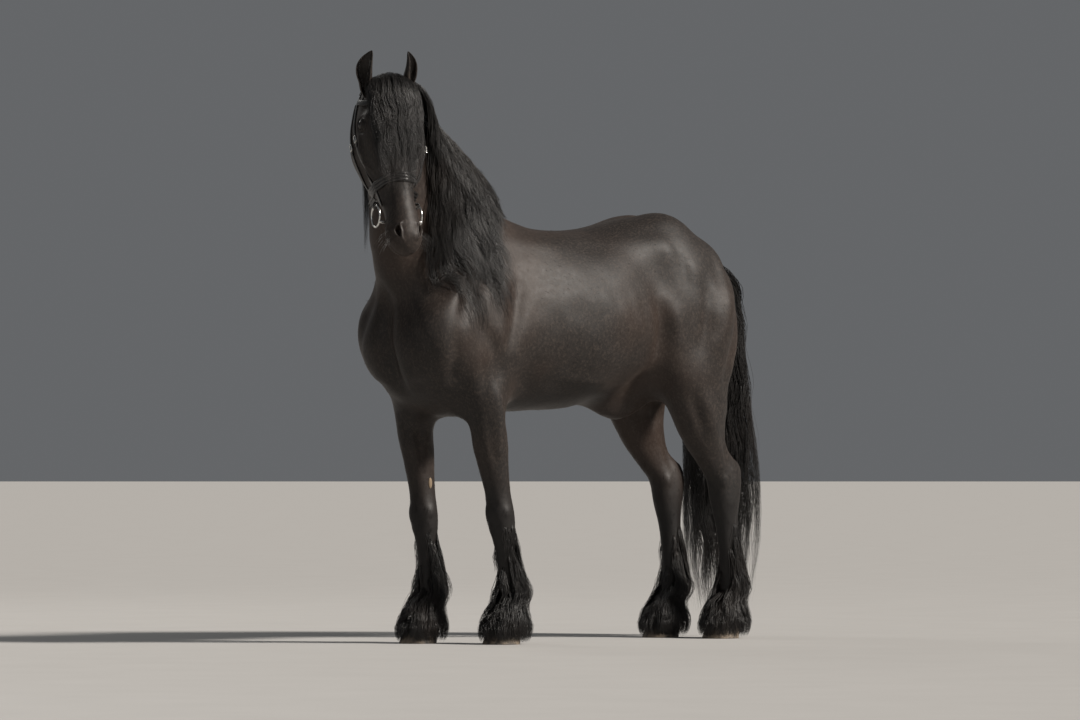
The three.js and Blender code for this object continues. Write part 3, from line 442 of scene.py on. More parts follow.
# %% [markdown]
# ## Smoothing that fills the creases
# Where two lofts meet, the remesh leaves a sharp valley, and skin over muscle has none. Every point
# moves to the mean of its neighbours a few times, and many times more in the valleys, which are found
# by how far the neighbours' mean lies outside the surface. The face and the feet are left out.

# %% Smooth the blank
HOLLOW_FROM, HOLLOW_SPAN = 0.00012, 0.0004
WIDER, SOFTER, FILLED = 12, 4, 160  # rounds that widen the valleys, blur them, and fill them

points = relax(read_points(skin), edges, 3)
write_points(skin, points)
hollow = ((neighbour_mean(points, edges, len(points)) - points) * read_normals(skin)).sum(1)
valley = np.clip((hollow - HOLLOW_FROM) / HOLLOW_SPAN, 0, 1)[:, None]
for _ in range(WIDER):
    valley = np.maximum(valley, 0.95 * neighbour_mean(valley, edges, len(points)))
for _ in range(SOFTER):
    valley = neighbour_mean(valley, edges, len(points))
body = in_body(points)
down, off, left = head_places(body)
on_face = (down > 90) & (off > -230) & (np.abs(left) < 140)
valley = np.clip(valley[:, 0] * 2.2, 0, 1) * np.clip((body[:, 2] - 420) / 200, 0, 1) * ~on_face
points = relax(points, edges, FILLED, valley)
write_points(skin, relax(points, edges, 2))
print("points in valleys:", int((valley > 0.3).sum()), "of", len(points))

# %% [markdown]
# ## Muscle and bone
# A loft gives the mass but not the anatomy. Two kinds of stroke add it, as with a sculpting brush: a
# soft swell or hollow round a place, and a ridge or groove along a line. Each is given in
# millimetres of the body's frame and worked on both sides at once. A line may settle on the surface
# first, so that its places needn't be measured exactly.

# %% Two kinds of stroke
def swells(points_mm, forms):
    """Height of soft swells: centre, reach on each axis, height. Both sides carry the same ones."""
    x, y, z = points_mm[:, 0], np.abs(points_mm[:, 1]), points_mm[:, 2]
    total = np.zeros(len(points_mm))
    for cx, cy, cz, rx, ry, rz, height in forms:
        total += height * np.exp(-(((x - cx) / rx) ** 2) - ((y - cy) / ry) ** 2 - ((z - cz) / rz) ** 2)
    return total


def ridges(points_mm, lines, settle=False):
    """Height of ridges along lines: half width, height, then places, which may settle on the surface."""
    mirrored = np.column_stack([points_mm[:, 0], np.abs(points_mm[:, 1]), points_mm[:, 2]])
    total = np.zeros(len(points_mm))
    for half, height, *line in lines:
        line = smoothed(line, 5) if len(line) > 2 else np.array(line, float)
        if settle:
            line = mirrored[[np.argmin(((mirrored - place) ** 2).sum(1)) for place in line]]
            for _ in range(3):
                line[1:-1] = (line[:-2] + 2 * line[1:-1] + line[2:]) / 4
        low, high = line.min(0) - 3 * half, line.max(0) + 3 * half
        near = np.flatnonzero(((mirrored > low) & (mirrored < high)).all(1))
        if not len(near):
            continue
        p = mirrored[near]
        best, share = np.full(len(near), 1e9), np.zeros(len(near))
        for i, (a, b) in enumerate(zip(line[:-1], line[1:])):
            t = np.clip(((p - a) @ (b - a)) / ((b - a) @ (b - a)), 0, 1)
            away = np.linalg.norm(p - a - t[:, None] * (b - a), axis=1)
            share = np.where(away < best, (i + t) / (len(line) - 1), share)
            best = np.minimum(best, away)
        fade = np.sin(np.pi * np.clip(share, 0.02, 0.98)) ** 0.6
        total[near] += height * fade * np.exp(-((best / half) ** 2))
    return total


print("a swell lifts its centre by", swells(np.zeros((1, 3)), [[0, 0, 0, 9, 9, 9, 5]])[0], "mm")

# %% [markdown]
# The swells are the large muscles and the hollows between them: shoulder, breast and the groove in
# it, forearm, flank, the two halves of the rump, stifle and withers. The lines are the edges of the
# shoulder blade, the furrow behind the elbow, the flank's fold, the muscles of the buttock and the
# jugular groove. The ribs only just show.

# %% Strokes for the body
# Centre, reach on each axis, height.
BODY_SWELLS = [
    [640, 230, 1330, 130, 130, 210, 16], [560, 250, 1120, 120, 110, 120, 26],
    [838, 215, 1165, 85, 90, 105, 20], [905, 105, 1110, 70, 80, 120, 18],
    [950, 0, 1090, 90, 34, 170, -46], [455, 265, 960, 70, 100, 120, -22],
    [-262, 235, 1520, 75, 80, 60, 18], [-205, 280, 1400, 110, 90, 120, -27],
    [-380, 140, 1640, 170, 80, 80, 18], [-470, 0, 1670, 230, 34, 70, -35],
    [-600, 255, 1260, 150, 120, 190, 11], [-330, 240, 1030, 90, 110, 120, 18],
    [905, 0, 1290, 70, 40, 110, -16], [-740, 0, 1250, 90, 34, 220, -32],
    [-240, 260, 1180, 120, 90, 80, -14], [640, 150, 900, 150, 60, 60, 9],
    [700, 120, 1560, 120, 60, 90, -16], [330, 180, 1530, 160, 60, 60, 7],
    [760, 200, 1440, 60, 60, 90, 11], [-560, 200, 1480, 90, 90, 90, 9],
]
# Half width, height, then the line's places.
BODY_RIDGES = [
    [32, -19, [590, 200, 1500], [690, 250, 1400], [770, 262, 1290], [800, 255, 1200]],
    [26, -18, [720, 262, 1230], [660, 268, 1150], [620, 265, 1060], [600, 250, 980]],
    [30, 13, [650, 215, 1540], [740, 245, 1420], [830, 240, 1270]],
    [32, -22, [490, 250, 1420], [530, 285, 1270], [575, 285, 1130], [600, 265, 1010]],
    [34, 7, [570, 250, 1380], [620, 275, 1260], [660, 275, 1140]],
    [20, -9, [640, 262, 1350], [640, 270, 1230], [650, 272, 1130]],
    [30, -24, [-190, 262, 1340], [-225, 260, 1200], [-215, 235, 1060]],
    [28, 14, [-260, 265, 1310], [-300, 262, 1180], [-280, 240, 1060]],
    [28, -20, [-640, 150, 1500], [-625, 220, 1320], [-575, 240, 1140], [-530, 215, 960]],
    [30, -15, [-440, 250, 1390], [-430, 265, 1230], [-400, 262, 1100]],
    [34, 13, [-540, 120, 1600], [-560, 190, 1460], [-520, 240, 1250], [-470, 250, 1100]],
    [40, -12, [1000, 130, 1700], [950, 120, 1520], [930, 110, 1370]],
    [24, 9, [300, 255, 1000], [150, 265, 975], [0, 262, 985]],
    [28, -9, [860, 60, 1000], [820, 130, 1020], [780, 200, 1060]],
    [26, -10, [-300, 200, 1560], [-340, 240, 1440], [-330, 255, 1340]],
    [26, -12, [880, 60, 1330], [905, 130, 1200], [880, 190, 1080]],
    [22, -17, [810, 200, 1200], [808, 215, 1090], [792, 190, 985]],
    [30, 12, [715, 250, 1130], [722, 255, 1030], [712, 245, 920]],
    [18, -10, [668, 250, 1080], [672, 255, 990], [664, 245, 900]],
]
# Ribs: faint ridges that run down and back on the barrel.
RIBS, RIB_GAP, FIRST_RIB = 7, 75, 330
for x in FIRST_RIB - RIB_GAP * np.arange(RIBS):
    line = [[x, 285, 1380], [x - 30, 305, 1250], [x - 42, 300, 1110], [x - 20, 265, 1000]]
    BODY_RIDGES.append([19, 3.2] + line)
print("strokes:", len(BODY_SWELLS), "swells and", len(BODY_RIDGES), "lines")

# %% [markdown]
# Legs and head need more points than the barrel before they can carry bone and lids, so their faces
# are cut in four first.

# %% Finer legs and head
def subdivide_where(obj, chosen, cuts):
    """Cut the faces whose corners are all chosen."""
    work = bmesh.new()
    work.from_mesh(obj.data)
    cut = [e for e in work.edges if chosen[e.verts[0].index] and chosen[e.verts[1].index]]
    bmesh.ops.subdivide_edges(work, edges=cut, cuts=cuts, use_grid_fill=True)
    work.to_mesh(obj.data)
    work.free()
    obj.data.update()


def on_head(points_mm, from_down=60):
    down, off, left = head_places(points_mm)
    return (down > from_down) & (off > -320) & (np.abs(left) < 150) & (points_mm[:, 2] > 1380)


body = in_body(read_points(skin))
subdivide_where(skin, (body[:, 2] < 760) | on_head(body), 1)
edges = read_edges(skin)
write_points(skin, relax(read_points(skin), edges, 3))
print("skin with finer legs and head:", len(skin.data.polygons), "faces")

# %% [markdown]
# The strokes lift each point along its normal. Flesh under a coat is never quite even, so a few long
# waves in random directions add a millimetre or less. Both fade out down the legs.

# %% Sculpt the body
WAVES, WAVE_HEIGHT = (0.26, 0.19, 0.13, 0.09), 3.6  # lengths in metres, and height for each metre of length

points, normals = read_points(skin), read_normals(skin)
body = in_body(points)
lift = swells(body, BODY_SWELLS) + ridges(body, BODY_RIDGES, True)
lift *= np.clip((body[:, 2] - 850) / 150, 0, 1)
above_knees = np.clip((body[:, 2] - 500) / 300, 0, 1)
rng = np.random.default_rng(3)
for wave in WAVES:
    for way in unit(rng.normal(size=(4, 3))):
        phase = rng.uniform(0, 6)
        lift += WAVE_HEIGHT * wave * np.sin(2 * np.pi * points @ way / wave + phase) * above_knees
points = points + normals * lift[:, None] * 0.001
write_points(skin, relax(points, edges, 1, np.clip((body[:, 2] - 760) / 60, 0, 1)))
print("deepest hollow", round(lift.min(), 1), "mm, highest swell", round(lift.max(), 1), "mm")

# %% [markdown]
# ## Legs: bone, tendon and joint
# A leg below the knee is skin over bone and tendons. The strokes are given for a left leg that stands
# plumb, and each leg's own points are leaned back before they take them, so all four share two tables.

# %% Sculpt the legs
# Half width, height, then the line's places on a leg that stands plumb.
FORE_STROKES = [
    [26, 13, [655, 245, 980], [650, 240, 870], [640, 220, 740]],
    [17, -10, [705, 225, 940], [685, 222, 790], [665, 210, 650]],
    [15, -9, [610, 245, 960], [605, 238, 840], [610, 220, 700]],
    [18, 8, [720, 200, 960], [705, 196, 860], [690, 192, 760]],
    [20, 6, [640, 220, 525], [630, 218, 480]],
    [13, -6, [602, 200, 440], [594, 194, 330], [590, 190, 220]],
    [11, 4, [576, 182, 430], [572, 176, 320], [562, 180, 215]],
    [18, 6, [562, 160, 510], [560, 158, 450]],
    [18, 6, [612, 196, 170], [596, 198, 140]],
    [14, -5, [680, 196, 545], [672, 196, 520]],
    [14, -4, [676, 196, 470], [668, 192, 440]],
]
HIND_STROKES = [
    [28, 12, [-420, 265, 980], [-470, 250, 880], [-525, 230, 780]],
    [17, -9, [-380, 255, 960], [-420, 245, 870], [-470, 228, 780]],
    [22, -13, [-545, 236, 820], [-597, 214, 735], [-635, 195, 655]],
    [15, 9, [-645, 165, 790], [-692, 155, 710], [-712, 150, 630]],
    [22, 8, [-560, 215, 960], [-600, 200, 880], [-640, 180, 800]],
    [20, 7, [-600, 202, 645], [-590, 198, 590]],
    [13, -6, [-672, 178, 500], [-684, 170, 400], [-690, 166, 260]],
    [12, 4, [-696, 156, 480], [-702, 150, 380], [-714, 144, 220]],
    [18, 6, [-670, 172, 170], [-684, 172, 140]],
]
points, normals = read_points(skin), read_normals(skin)
body = in_body(points)
for table, side, lean, start in STANCE.values():
    fore = table is FORELEG
    mine = np.flatnonzero((body[:, 1] * side > 20) & (body[:, 2] < 1000) & ((body[:, 0] > 0) == fore))
    plumb = body[mine].copy()
    plumb[:, 0] -= lean * np.maximum(0, (start - plumb[:, 2]) / start)
    plumb[:, 1] = np.abs(plumb[:, 1])
    middle = np.interp(plumb[:, 2], [0, 500, 1000], [150, 165, 176] if fore else [124, 138, 178])
    inner = np.column_stack([plumb[:, 0], 2 * middle - plumb[:, 1], plumb[:, 2]])
    strokes = FORE_STROKES if fore else HIND_STROKES
    lift = ridges(plumb, strokes) + 0.8 * ridges(inner, strokes)  # the inner side is a little weaker
    points[mine] += normals[mine] * lift[:, None] * 0.001
write_points(skin, relax(points, edges, 1))
print("legs sculpted:", list(STANCE))

# %% [markdown]
# ## The head
# The head tells whether a horse looks alive, so it gets the densest mesh and the most strokes. The
# faces of the muzzle are cut three by three and those round the eyes five by five, and then smoothed,
# so that a lid's edge of a millimetre can be formed. The rest of the head stays coarser.

# %% Finer eyes and muzzle
EYE_DOWN, EYE_LEFT, EYE_OFF, EYE_RADIUS = 168.0, 103.0, -66.0, 21.0
MOUTH_DOWN, MOUTH_OFF, MOUTH_FALL = 546.0, -84.0, 0.123

down, off, left = head_places(in_body(read_points(skin)))
muzzle = (down > 530) & on_head(in_body(read_points(skin)))
subdivide_where(skin, muzzle, 2)
down, off, left = head_places(in_body(read_points(skin)))
near_eye = (np.hypot(down - EYE_DOWN, off - EYE_OFF) < 44) & (np.abs(left) > 60)
subdivide_where(skin, near_eye, 4)
edges = read_edges(skin)
points = read_points(skin)
down, off, left = head_places(in_body(points))
round_eye = (np.hypot(down - EYE_DOWN, off - EYE_OFF) < 50) & (np.abs(left) > 60)
fine = round_eye | (down > 525) & (off > -200)
points = relax(points, edges, 8, fine.astype(float))
write_points(skin, points)
print("skin with fine eyes and muzzle:", len(skin.data.polygons), "faces")

# %% [markdown]
# The same two strokes shape the face, in the head's own frame: the hollow over the eye, the crest of
# the cheekbone with its shadow below, the round jaw and its edge, the vein that forks over the cheek,
# the chin and the corner of the mouth.

# %% Sculpt the face
def smoothstep(low, high, value):
    t = np.clip((value - low) / (high - low), 0, 1)
    return t * t * (3 - 2 * t)


# Down, left and off the face, reach on each, height.
FACE_SWELLS = [
    [112, 92, -50, 30, 36, 28, -9], [150, 104, -40, 34, 40, 22, 8], [245, 98, -190, 80, 60, 70, 6],
    [262, 98, -100, 90, 40, 16, 8], [410, 62, -62, 70, 30, 26, -6], [500, 55, -122, 50, 40, 30, -6],
    [330, 92, -150, 60, 40, 30, -6], [640, 0, -128, 26, 42, 20, 9], [600, 62, -58, 30, 30, 26, 5],
    [320, 40, 0, 120, 20, 20, 3], [560, 0, 4, 60, 26, 30, 3], [210, 100, -140, 40, 40, 30, -4],
    [60, 84, -150, 40, 40, 50, 5], [250, 60, -290, 90, 40, 30, 4], [630, 30, 6, 20, 20, 20, 3],
]
# Half width, height, then the line's places down, left and off the face.
FACE_RIDGES = [
    [9, 7, [205, 118, -92], [260, 112, -100], [320, 98, -108], [375, 84, -112]],
    [8, -3, [215, 118, -112], [280, 108, -122], [340, 94, -128]],
    [5, 4.5, [345, 70, -226], [322, 96, -190], [300, 104, -150], [292, 102, -120], [330, 92, -88],
     [380, 78, -70]],
    [4.5, 3.4, [292, 102, -120], [350, 84, -100], [420, 68, -92], [480, 62, -86]],
    [10, -4, [380, 80, -170], [330, 98, -205], [262, 108, -250], [200, 112, -262]],
    [7, -3, [548, 60, -84], [520, 60, -98], [500, 58, -104]],
    [10, 4, [560, 58, -60], [600, 62, -74], [640, 56, -80]],
]

points, normals = read_points(skin), read_normals(skin)
down, off, left = head_places(in_body(points))
frame_points = np.column_stack([down, np.abs(left), off])
face = smoothstep(20, 70, down) * smoothstep(-330, -290, off) * (np.abs(left) < 150)
lift = swells(frame_points, FACE_SWELLS) + ridges(frame_points, FACE_RIDGES)
points = points + normals * (lift * face)[:, None] * 0.001
write_points(skin, points)
print("face strokes:", len(FACE_SWELLS) + len(FACE_RIDGES))

# %% [markdown]
# A nostril is a comma: a slit that bends round its wing. Its outline is a formula in two directions,
# along the slit and across it, where the distance across grows with the bend. Inside it the skin
# sinks by 25 mm, and a soft rim stands round it. The mouth is a fine groove between two lips, with
# the wrinkles of the corner behind it.

# %% Nostrils, lips and mouth
NOSTRIL_DOWN, NOSTRIL_LEFT, NOSTRIL_OFF, NOSTRIL_DEPTH = 608, 43, -24, 25
WRINKLE_GAP, WRINKLE_HEIGHT = 11, 0.9

points, normals = read_points(skin), read_normals(skin)
down, off, left = head_places(in_body(points))
lift = np.zeros(len(points))
across = (np.abs(left) - NOSTRIL_LEFT) * 0.80 - (off - NOSTRIL_OFF) * 0.60
along = down - NOSTRIL_DOWN + 0.28 * across
bend = across + 0.012 * (along - 4) ** 2
front = (off > -72) & (down > 560) & (np.abs(left) > 12)
ring = np.hypot(along / 21, bend / np.interp(along, [-22, 0, 22], [5.5, 10.5, 8.5]))
rim = 5.5 * np.exp(-(((ring - 1.35) / 0.32) ** 2))
lift += front * (rim - NOSTRIL_DEPTH * smoothstep(1.02, 0.55, ring))
lift += front * 3.0 * np.exp(-(((along + 26) / 12) ** 2) - (bend / 16) ** 2)
mouth_line = MOUTH_OFF - MOUTH_FALL * (down - MOUTH_DOWN)
gap = off - mouth_line
lips = smoothstep(MOUTH_DOWN - 8, MOUTH_DOWN + 10, down) * (off < -40) * (off > -160)
lift += lips * (-7.5 * np.exp(-((gap / 2.6) ** 2)) + 3.2 * np.exp(-(((gap - 8) / 6) ** 2))
                + 3.4 * np.exp(-(((gap + 9) / 7) ** 2)))
wrinkle = smoothstep(505, 530, down) * smoothstep(600, 570, down) * (off < -30) * (off > -150)
lift += wrinkle * WRINKLE_HEIGHT * np.sin((down + 0.5 * gap) * 2 * math.pi / WRINKLE_GAP)
points = points + normals * lift[:, None] * 0.001
soft = (down > 520) & (off > -210)
write_points(skin, relax(points, edges, 2, soft.astype(float)))
print("mouth and nostrils from", round(lift.min(), 1), "to", round(lift.max(), 1), "mm")

# %% [markdown]
# ## Lids over the ball
# A lid is skin stretched over the ball, so its surface is the ball's own, a lid's thickness further
# out. Inside an almond-shaped opening the skin goes back under the ball. The long axis of the almond
# drops a little toward the nose.

# %% Sculpt the lids
LID_TURN = math.radians(14)
HALF_SLIT, UPPER_LID, LOWER_LID = 19.5, 11.5, 9.0
LID_OUT, SOCKET = 24.6, 17.5  # radius of the lids' outer face, and of the skin under the ball
LID_REACH = 44
# Across the lids, half width, height and reach along, of the creases over and under the eye.
CREASES = [
    (19.0, 4.5, 2.2, 24), (14.8, 1.8, -2.6, 21), (-17.5, 4.0, 1.4, 18), (-13.2, 1.6, -1.8, 19),
    (25.0, 3.0, -2.0, 24),
]


def eye_places(points_mm):
    """Along the lids toward the nose, up across them, outward, and the side, from the ball's centre."""
    down, off, left = head_places(points_mm)
    side = np.sign(left)
    a, b, c = down - EYE_DOWN, off - EYE_OFF, np.abs(left) - EYE_LEFT
    along = a * math.cos(LID_TURN) - b * math.sin(LID_TURN)
    across = a * math.sin(LID_TURN) + b * math.cos(LID_TURN)
    return along, across, c, side


points = read_points(skin)
along, across, out, side = eye_places(in_body(points))
apart = np.hypot(along, across)
near = (apart < LID_REACH) & (out > -40)
height = np.where(across > 0, UPPER_LID, LOWER_LID)
opening = np.abs(across) / np.maximum(height * np.sqrt(np.clip(1 - (along / HALF_SLIT) ** 2, 0, 1)), 0.4)
lid = np.where(apart < LID_OUT - 0.4, np.sqrt(np.maximum(0, LID_OUT**2 - apart**2)), -30.0)
under = np.sqrt(np.maximum(0, SOCKET**2 - apart**2))
fold = sum(h * np.exp(-(((across - c) / w) ** 2) - (along / r) ** 2) for c, w, h, r in CREASES)
moat = 3.5 * np.exp(-(((apart - 28) / 7) ** 2))
tear_corner = 4.0 * np.exp(-(((along - 24) / 7) ** 2) - (across / 6) ** 2)
base = out - moat - tear_corner
covered = 3.0 * np.logaddexp(base / 3.0, lid / 3.0) + fold * smoothstep(40, 26, apart)
covered = np.where(apart < LID_REACH, covered, out)
inside = smoothstep(1.34, 0.72, opening) * smoothstep(22.5, 19.0, np.abs(along))
target = covered * (1 - inside) + under * inside
moved = np.where(near, target - out, 0.0)
points += (moved * side)[:, None] * HEAD_LEFT * 0.001
write_points(skin, points)
print("points under the lids:", int((near & (inside > 0.5)).sum()))

# %% [markdown]
# ## An unwrap for baking
# The skin is unwrapped by the angle of its faces, so that every part of it has its own place in the
# map. Each hair later takes a tiny patch of the same map, at the place of the skin it grows from.

# %% Unwrap the skin
def unwrapped(obj):
    """A map named OFBake on an object, by the angle between its faces."""
    pick(obj)
    if not obj.data.uv_layers:
        obj.data.uv_layers.new(name="OFBake")
    obj.data.uv_layers[0].name = "OFBake"
    bpy.ops.object.mode_set(mode="EDIT")
    bpy.ops.mesh.select_all(action="SELECT")
    bpy.ops.uv.smart_project(angle_limit=math.radians(66), island_margin=0.001)
    bpy.ops.object.mode_set(mode="OBJECT")


def smooth_shaded(obj):
    obj.data.polygons.foreach_set("use_smooth", np.ones(len(obj.data.polygons), bool))
    obj.data.update()


pick(skin)
bpy.ops.object.mode_set(mode="EDIT")
bpy.ops.mesh.select_all(action="SELECT")
bpy.ops.mesh.quads_convert_to_tris()
bpy.ops.object.mode_set(mode="OBJECT")
unwrapped(skin)
smooth_shaded(skin)
FLESH = ["torso", "neck", "head"] + [part + name for name in STANCE for part in ("upper_leg_", "lower_leg_")]
stands_for(skin, "coat", *FLESH)
print("skin:", len(skin.data.polygons), "triangles in place of", len(FLESH), "solids")

# %% [markdown]
# Straps, hair roots and tufts must all find the skin. A search tree over its triangles says fast where
# the nearest place on it is, and where a ray meets it first.

# %% Find the skin
corners = np.empty(len(skin.data.loops), np.int32)
skin.data.loops.foreach_get("vertex_index", corners)
skin_faces = corners.reshape(-1, 3)
skin_map = np.empty(len(skin.data.loops) * 2, np.float32)
skin.data.uv_layers["OFBake"].data.foreach_get("uv", skin_map)
skin_map = skin_map.reshape(-1, 3, 2).mean(1)
skin_tree = BVHTree.FromPolygons(read_points(skin).tolist(), skin_faces.tolist())


def nearest_skin(points):
    """Foot on the skin, its outward way, and the face, for points in metres."""
    found = [skin_tree.find_nearest(p) for p in np.asarray(points).tolist()]
    foot = np.array([f[0] for f in found])
    normal = np.array([f[1] for f in found])
    return foot, normal, np.array([f[2] for f in found])


def cast_on_skin(origins, ways):
    """First place on the skin along a ray, and its outward way."""
    found = [skin_tree.ray_cast(Vector(o), Vector(w)) for o, w in zip(origins, ways)]
    return np.array([f[0] for f in found]), np.array([f[1] for f in found])


print("the skin nearest the box's middle is at", nearest_skin([[0.0, 0.0, 1.1]])[0].round(3)[0])

# %% [markdown]
# ## Ears
# An ear is a leaf rolled into a cup. Rows up the leaf give its width, depth and the bend toward the
# other ear, and an inner wall follows the outer one, so the rim is a real edge that catches light.

# %% Ears
EAR_FOOT, EAR_LENGTH, EAR_WALL = (16.0, -42.0, 82.0), 132.0, 4.0
# Share of the height, half width, depth, bend, half the angle of the opening.
EAR_ROWS = [
    [-0.5, 9, 11, 0.16, 20], [-0.2, 21, 21, 0.03, 25], [0.05, 25, 24, -0.02, 35], [0.3, 31, 25, -0.08, 55],
    [0.55, 30, 22, -0.11, 70], [0.76, 23, 16, -0.07, 75], [0.92, 12, 9, 0.01, 75], [1.0, 3, 3, 0.06, 75],
]


def ear_frame(side):
    foot = in_head(EAR_FOOT[0], EAR_FOOT[1], side * EAR_FOOT[2])
    up = unit(Z_WAY + 0.3 * FACING)
    opening = 0.8 * FACING + 0.6 * side * HEAD_LEFT
    opening = unit(opening - up * (opening @ up))
    return foot, up, opening, np.cross(opening, up)


def ear_mesh(side):
    foot, up, opening, wide = ear_frame(side)
    rows = smoothed([[0, 0, row[0] * EAR_LENGTH] + row[1:] for row in EAR_ROWS], 7)
    spots, rings = 21, []
    for _, _, height, half, deep, bend, gap in rows:
        middle = foot + up * height - HEAD_LEFT * side * bend * EAR_LENGTH
        sweep = math.pi - math.radians(gap)
        ring = []
        for inset, share, order in ((0, 1.0, 1), (min(EAR_WALL, half * 0.45), 0.95, -1)):
            angle = -math.pi / 2 + sweep * share * np.linspace(-1, 1, spots)[::order]
            curl = 1 + 0.05 * np.sin(3 * angle + height / 25)
            ring.append(middle + np.outer(np.cos(angle) * (half - inset) * curl, wide)
                        + np.outer(np.sin(angle) * (deep - inset), opening))
        rings.append(np.vstack(ring))
    count, around = len(rings), 2 * spots
    points = np.vstack(rings + [rings[0].mean(0)[None], rings[-1].mean(0)[None]])
    faces = []
    for i in range(count - 1):
        for j in range(around):
            k = (j + 1) % around
            faces.append([i * around + j, i * around + k, (i + 1) * around + k, (i + 1) * around + j])
    for j in range(around):
        k = (j + 1) % around
        faces.append([count * around, k, j])
        faces.append([count * around + 1, (count - 1) * around + j, (count - 1) * around + k])
    return points, faces


def facing_out(obj):
    work = bmesh.new()
    work.from_mesh(obj.data)
    bmesh.ops.recalc_face_normals(work, faces=work.faces)
    work.to_mesh(obj.data)
    work.free()


def shell_object(name, points, faces):
    """A closed piece from points of the body's frame, with its own map."""
    made = mesh_object(name, placed(points), faces)
    facing_out(made)
    unwrapped(made)
    smooth_shaded(made)
    return made


ears = []
for side, word in ((1, "left"), (-1, "right")):
    ear = shell_object("ear_skin_" + word, *ear_mesh(side))
    ears.append(stands_for(ear, "coat", "ear_" + word))
print("ears:", [len(ear.data.polygons) for ear in ears], "faces each")

# %% [markdown]
# ## Eyes
# The balls stay whole spheres of their real size. Their north pole looks outward, so that the material
# can paint iris and pupil by the distance from that pole, in the ball's own coordinates.

# %% Eyes
def ball_object(name, segments, rings, radius, turn, place):
    """A sphere of a radius in metres, turned and placed, with its own map."""
    bpy.ops.mesh.primitive_uv_sphere_add(segments=segments, ring_count=rings, radius=radius)
    made = bpy.context.object
    made.name = made.data.name = name
    made.matrix_world = Matrix.Translation(place) @ turn
    made.data.uv_layers[0].name = "OFBake"
    smooth_shaded(made)
    return made


eyes = []
for side, word in ((1, "left"), (-1, "right")):
    gaze = unit(side * HEAD_LEFT + 0.28 * OFF_FACE + 0.10 * DOWN_FACE)
    level = unit(DOWN_FACE - gaze * (DOWN_FACE @ gaze))
    turn = Matrix([level, np.cross(gaze, level), gaze]).transposed().to_4x4()
    place = placed(in_head(EYE_DOWN, EYE_OFF, side * EYE_LEFT))
    eye = ball_object("eyeball_" + word, 64, 40, EYE_RADIUS * 0.001, turn, place)
    eyes.append(stands_for(eye, "eye", "eye_" + word))
print("eyes of radius", EYE_RADIUS, "mm")

# %% [markdown]
# ## Hooves
# A hoof is a cone that leans forward, wider at the floor, with a flat sole and a slight bulge at the
# heels. It grows in rings, which the material adds.

# %% Hooves
hooves = []
for name in STANCE:
    x, y = leg_rows(name)[-1, :2]
    rows = [
        [x + 22, y, 0, 70, 74, 62, 2.1, 2.3], [x + 22, y, 3, 71, 75, 63, 2.1, 2.3],
        [x + 14, y, 30, 66, 69, 61, 2.1, 2.2], [x + 6, y, 58, 59, 60, 57, 2.1, 2.15],
        [x, y, 80, 53, 52, 53, 2.1, 2.1], [x, y, 84, 47, 46, 47, 2.1, 2.1],
    ]
    hoof = shell_object("hoof_wall_" + name, *loft(rows, 56, 6, X_WAY, Z_WAY))
    hooves.append(stands_for(hoof, "horn", "hoof_" + name))
print("hooves:", [len(hoof.data.polygons) for hoof in hooves], "faces each")

# %% [markdown]
# ## Chestnuts
# On the inner side of each foreleg, a hand above the knee, sits a small oval callus of tan horn. It is
# a flattened sphere, sunk to its middle where a ray from between the legs meets the skin.

# %% Chestnuts
CHESTNUT_HEIGHT, CHESTNUT_HALF = 612, (9, 21, 5, 1)

chestnuts = []
for name in ("fore_left", "fore_right"):
    rows = leg_rows(name)
    x, y = (np.interp(CHESTNUT_HEIGHT, rows[::-1, 2], rows[::-1, k]) for k in (0, 1))
    start = placed([[x - 6, y - np.sign(y) * 160, CHESTNUT_HEIGHT]])
    place, normal = cast_on_skin(start, [[0, float(np.sign(y)), 0]])
    turn = Vector(normal[0]).to_track_quat("Z", "Y").to_matrix().to_4x4() @ Matrix.Diagonal(CHESTNUT_HALF)
    callus = ball_object("chestnut_" + name, 24, 16, 0.001, turn, place[0])
    chestnuts.append(stands_for(callus, "horn", "lower_leg_" + name))
print("chestnuts at", [rounded(callus.matrix_world.translation) for callus in chestnuts])

# %% [markdown]
# ## The bridle
# A strap is a profile swept along a line that lies on the skin. The line is drawn in the side view of
# the head, then carried sideways, or round the head, until it meets the skin. The profile has rounded
# edges, and that of the noseband three padded ridges.

# %% Strap profiles
UNDER_STRAP = -1.5  # a strap's back lies a little inside the skin


def flat_profile(width, thick):
    """A strap's cross section with rounded edges: across and out, in millimetres."""
    edge = min(1.2, thick / 2.2)
    half = width / 2
    right = [[half - edge * 1.3, thick], [half - edge * 0.4, thick - edge * 0.3], [half, thick - edge]]
    left = [[-across, out] for across, out in right[::-1]]
    return [[-half, UNDER_STRAP]] + left + right + [[half, UNDER_STRAP]]


def padded_profile(width, thick, count=3):
    across = np.linspace(-1, 1, 8 * count + 1)
    out = thick * (0.62 + 0.38 * np.abs(np.sin((across + 1) * math.pi * count / 2))) * (1 - 0.25 * across**8)
    body = [[a * width / 2, o] for a, o in zip(across, out)]
    return [[-width / 2, UNDER_STRAP]] + body + [[width / 2, UNDER_STRAP]]


print("a flat profile has", len(flat_profile(17, 3.6)), "points, a padded one", len(padded_profile(36, 9.5)))

# %% [markdown]
# Sweeping needs two directions at each place of the line: along it, and away from the skin. The third,
# across the strap, follows from them. A curve with a bevel would do the same, but it twists on a line
# that bends two ways, and here the skin's own normal keeps each strap flat on the head.

# %% Sweep a profile
def evened(points, gap):
    """The same line with its places `gap` apart."""
    at = np.r_[0, np.cumsum(np.linalg.norm(np.diff(points, axis=0), axis=1))]
    new = np.linspace(0, at[-1], max(3, int(at[-1] / gap) + 1))
    return np.column_stack([np.interp(new, at, points[:, k]) for k in range(3)])


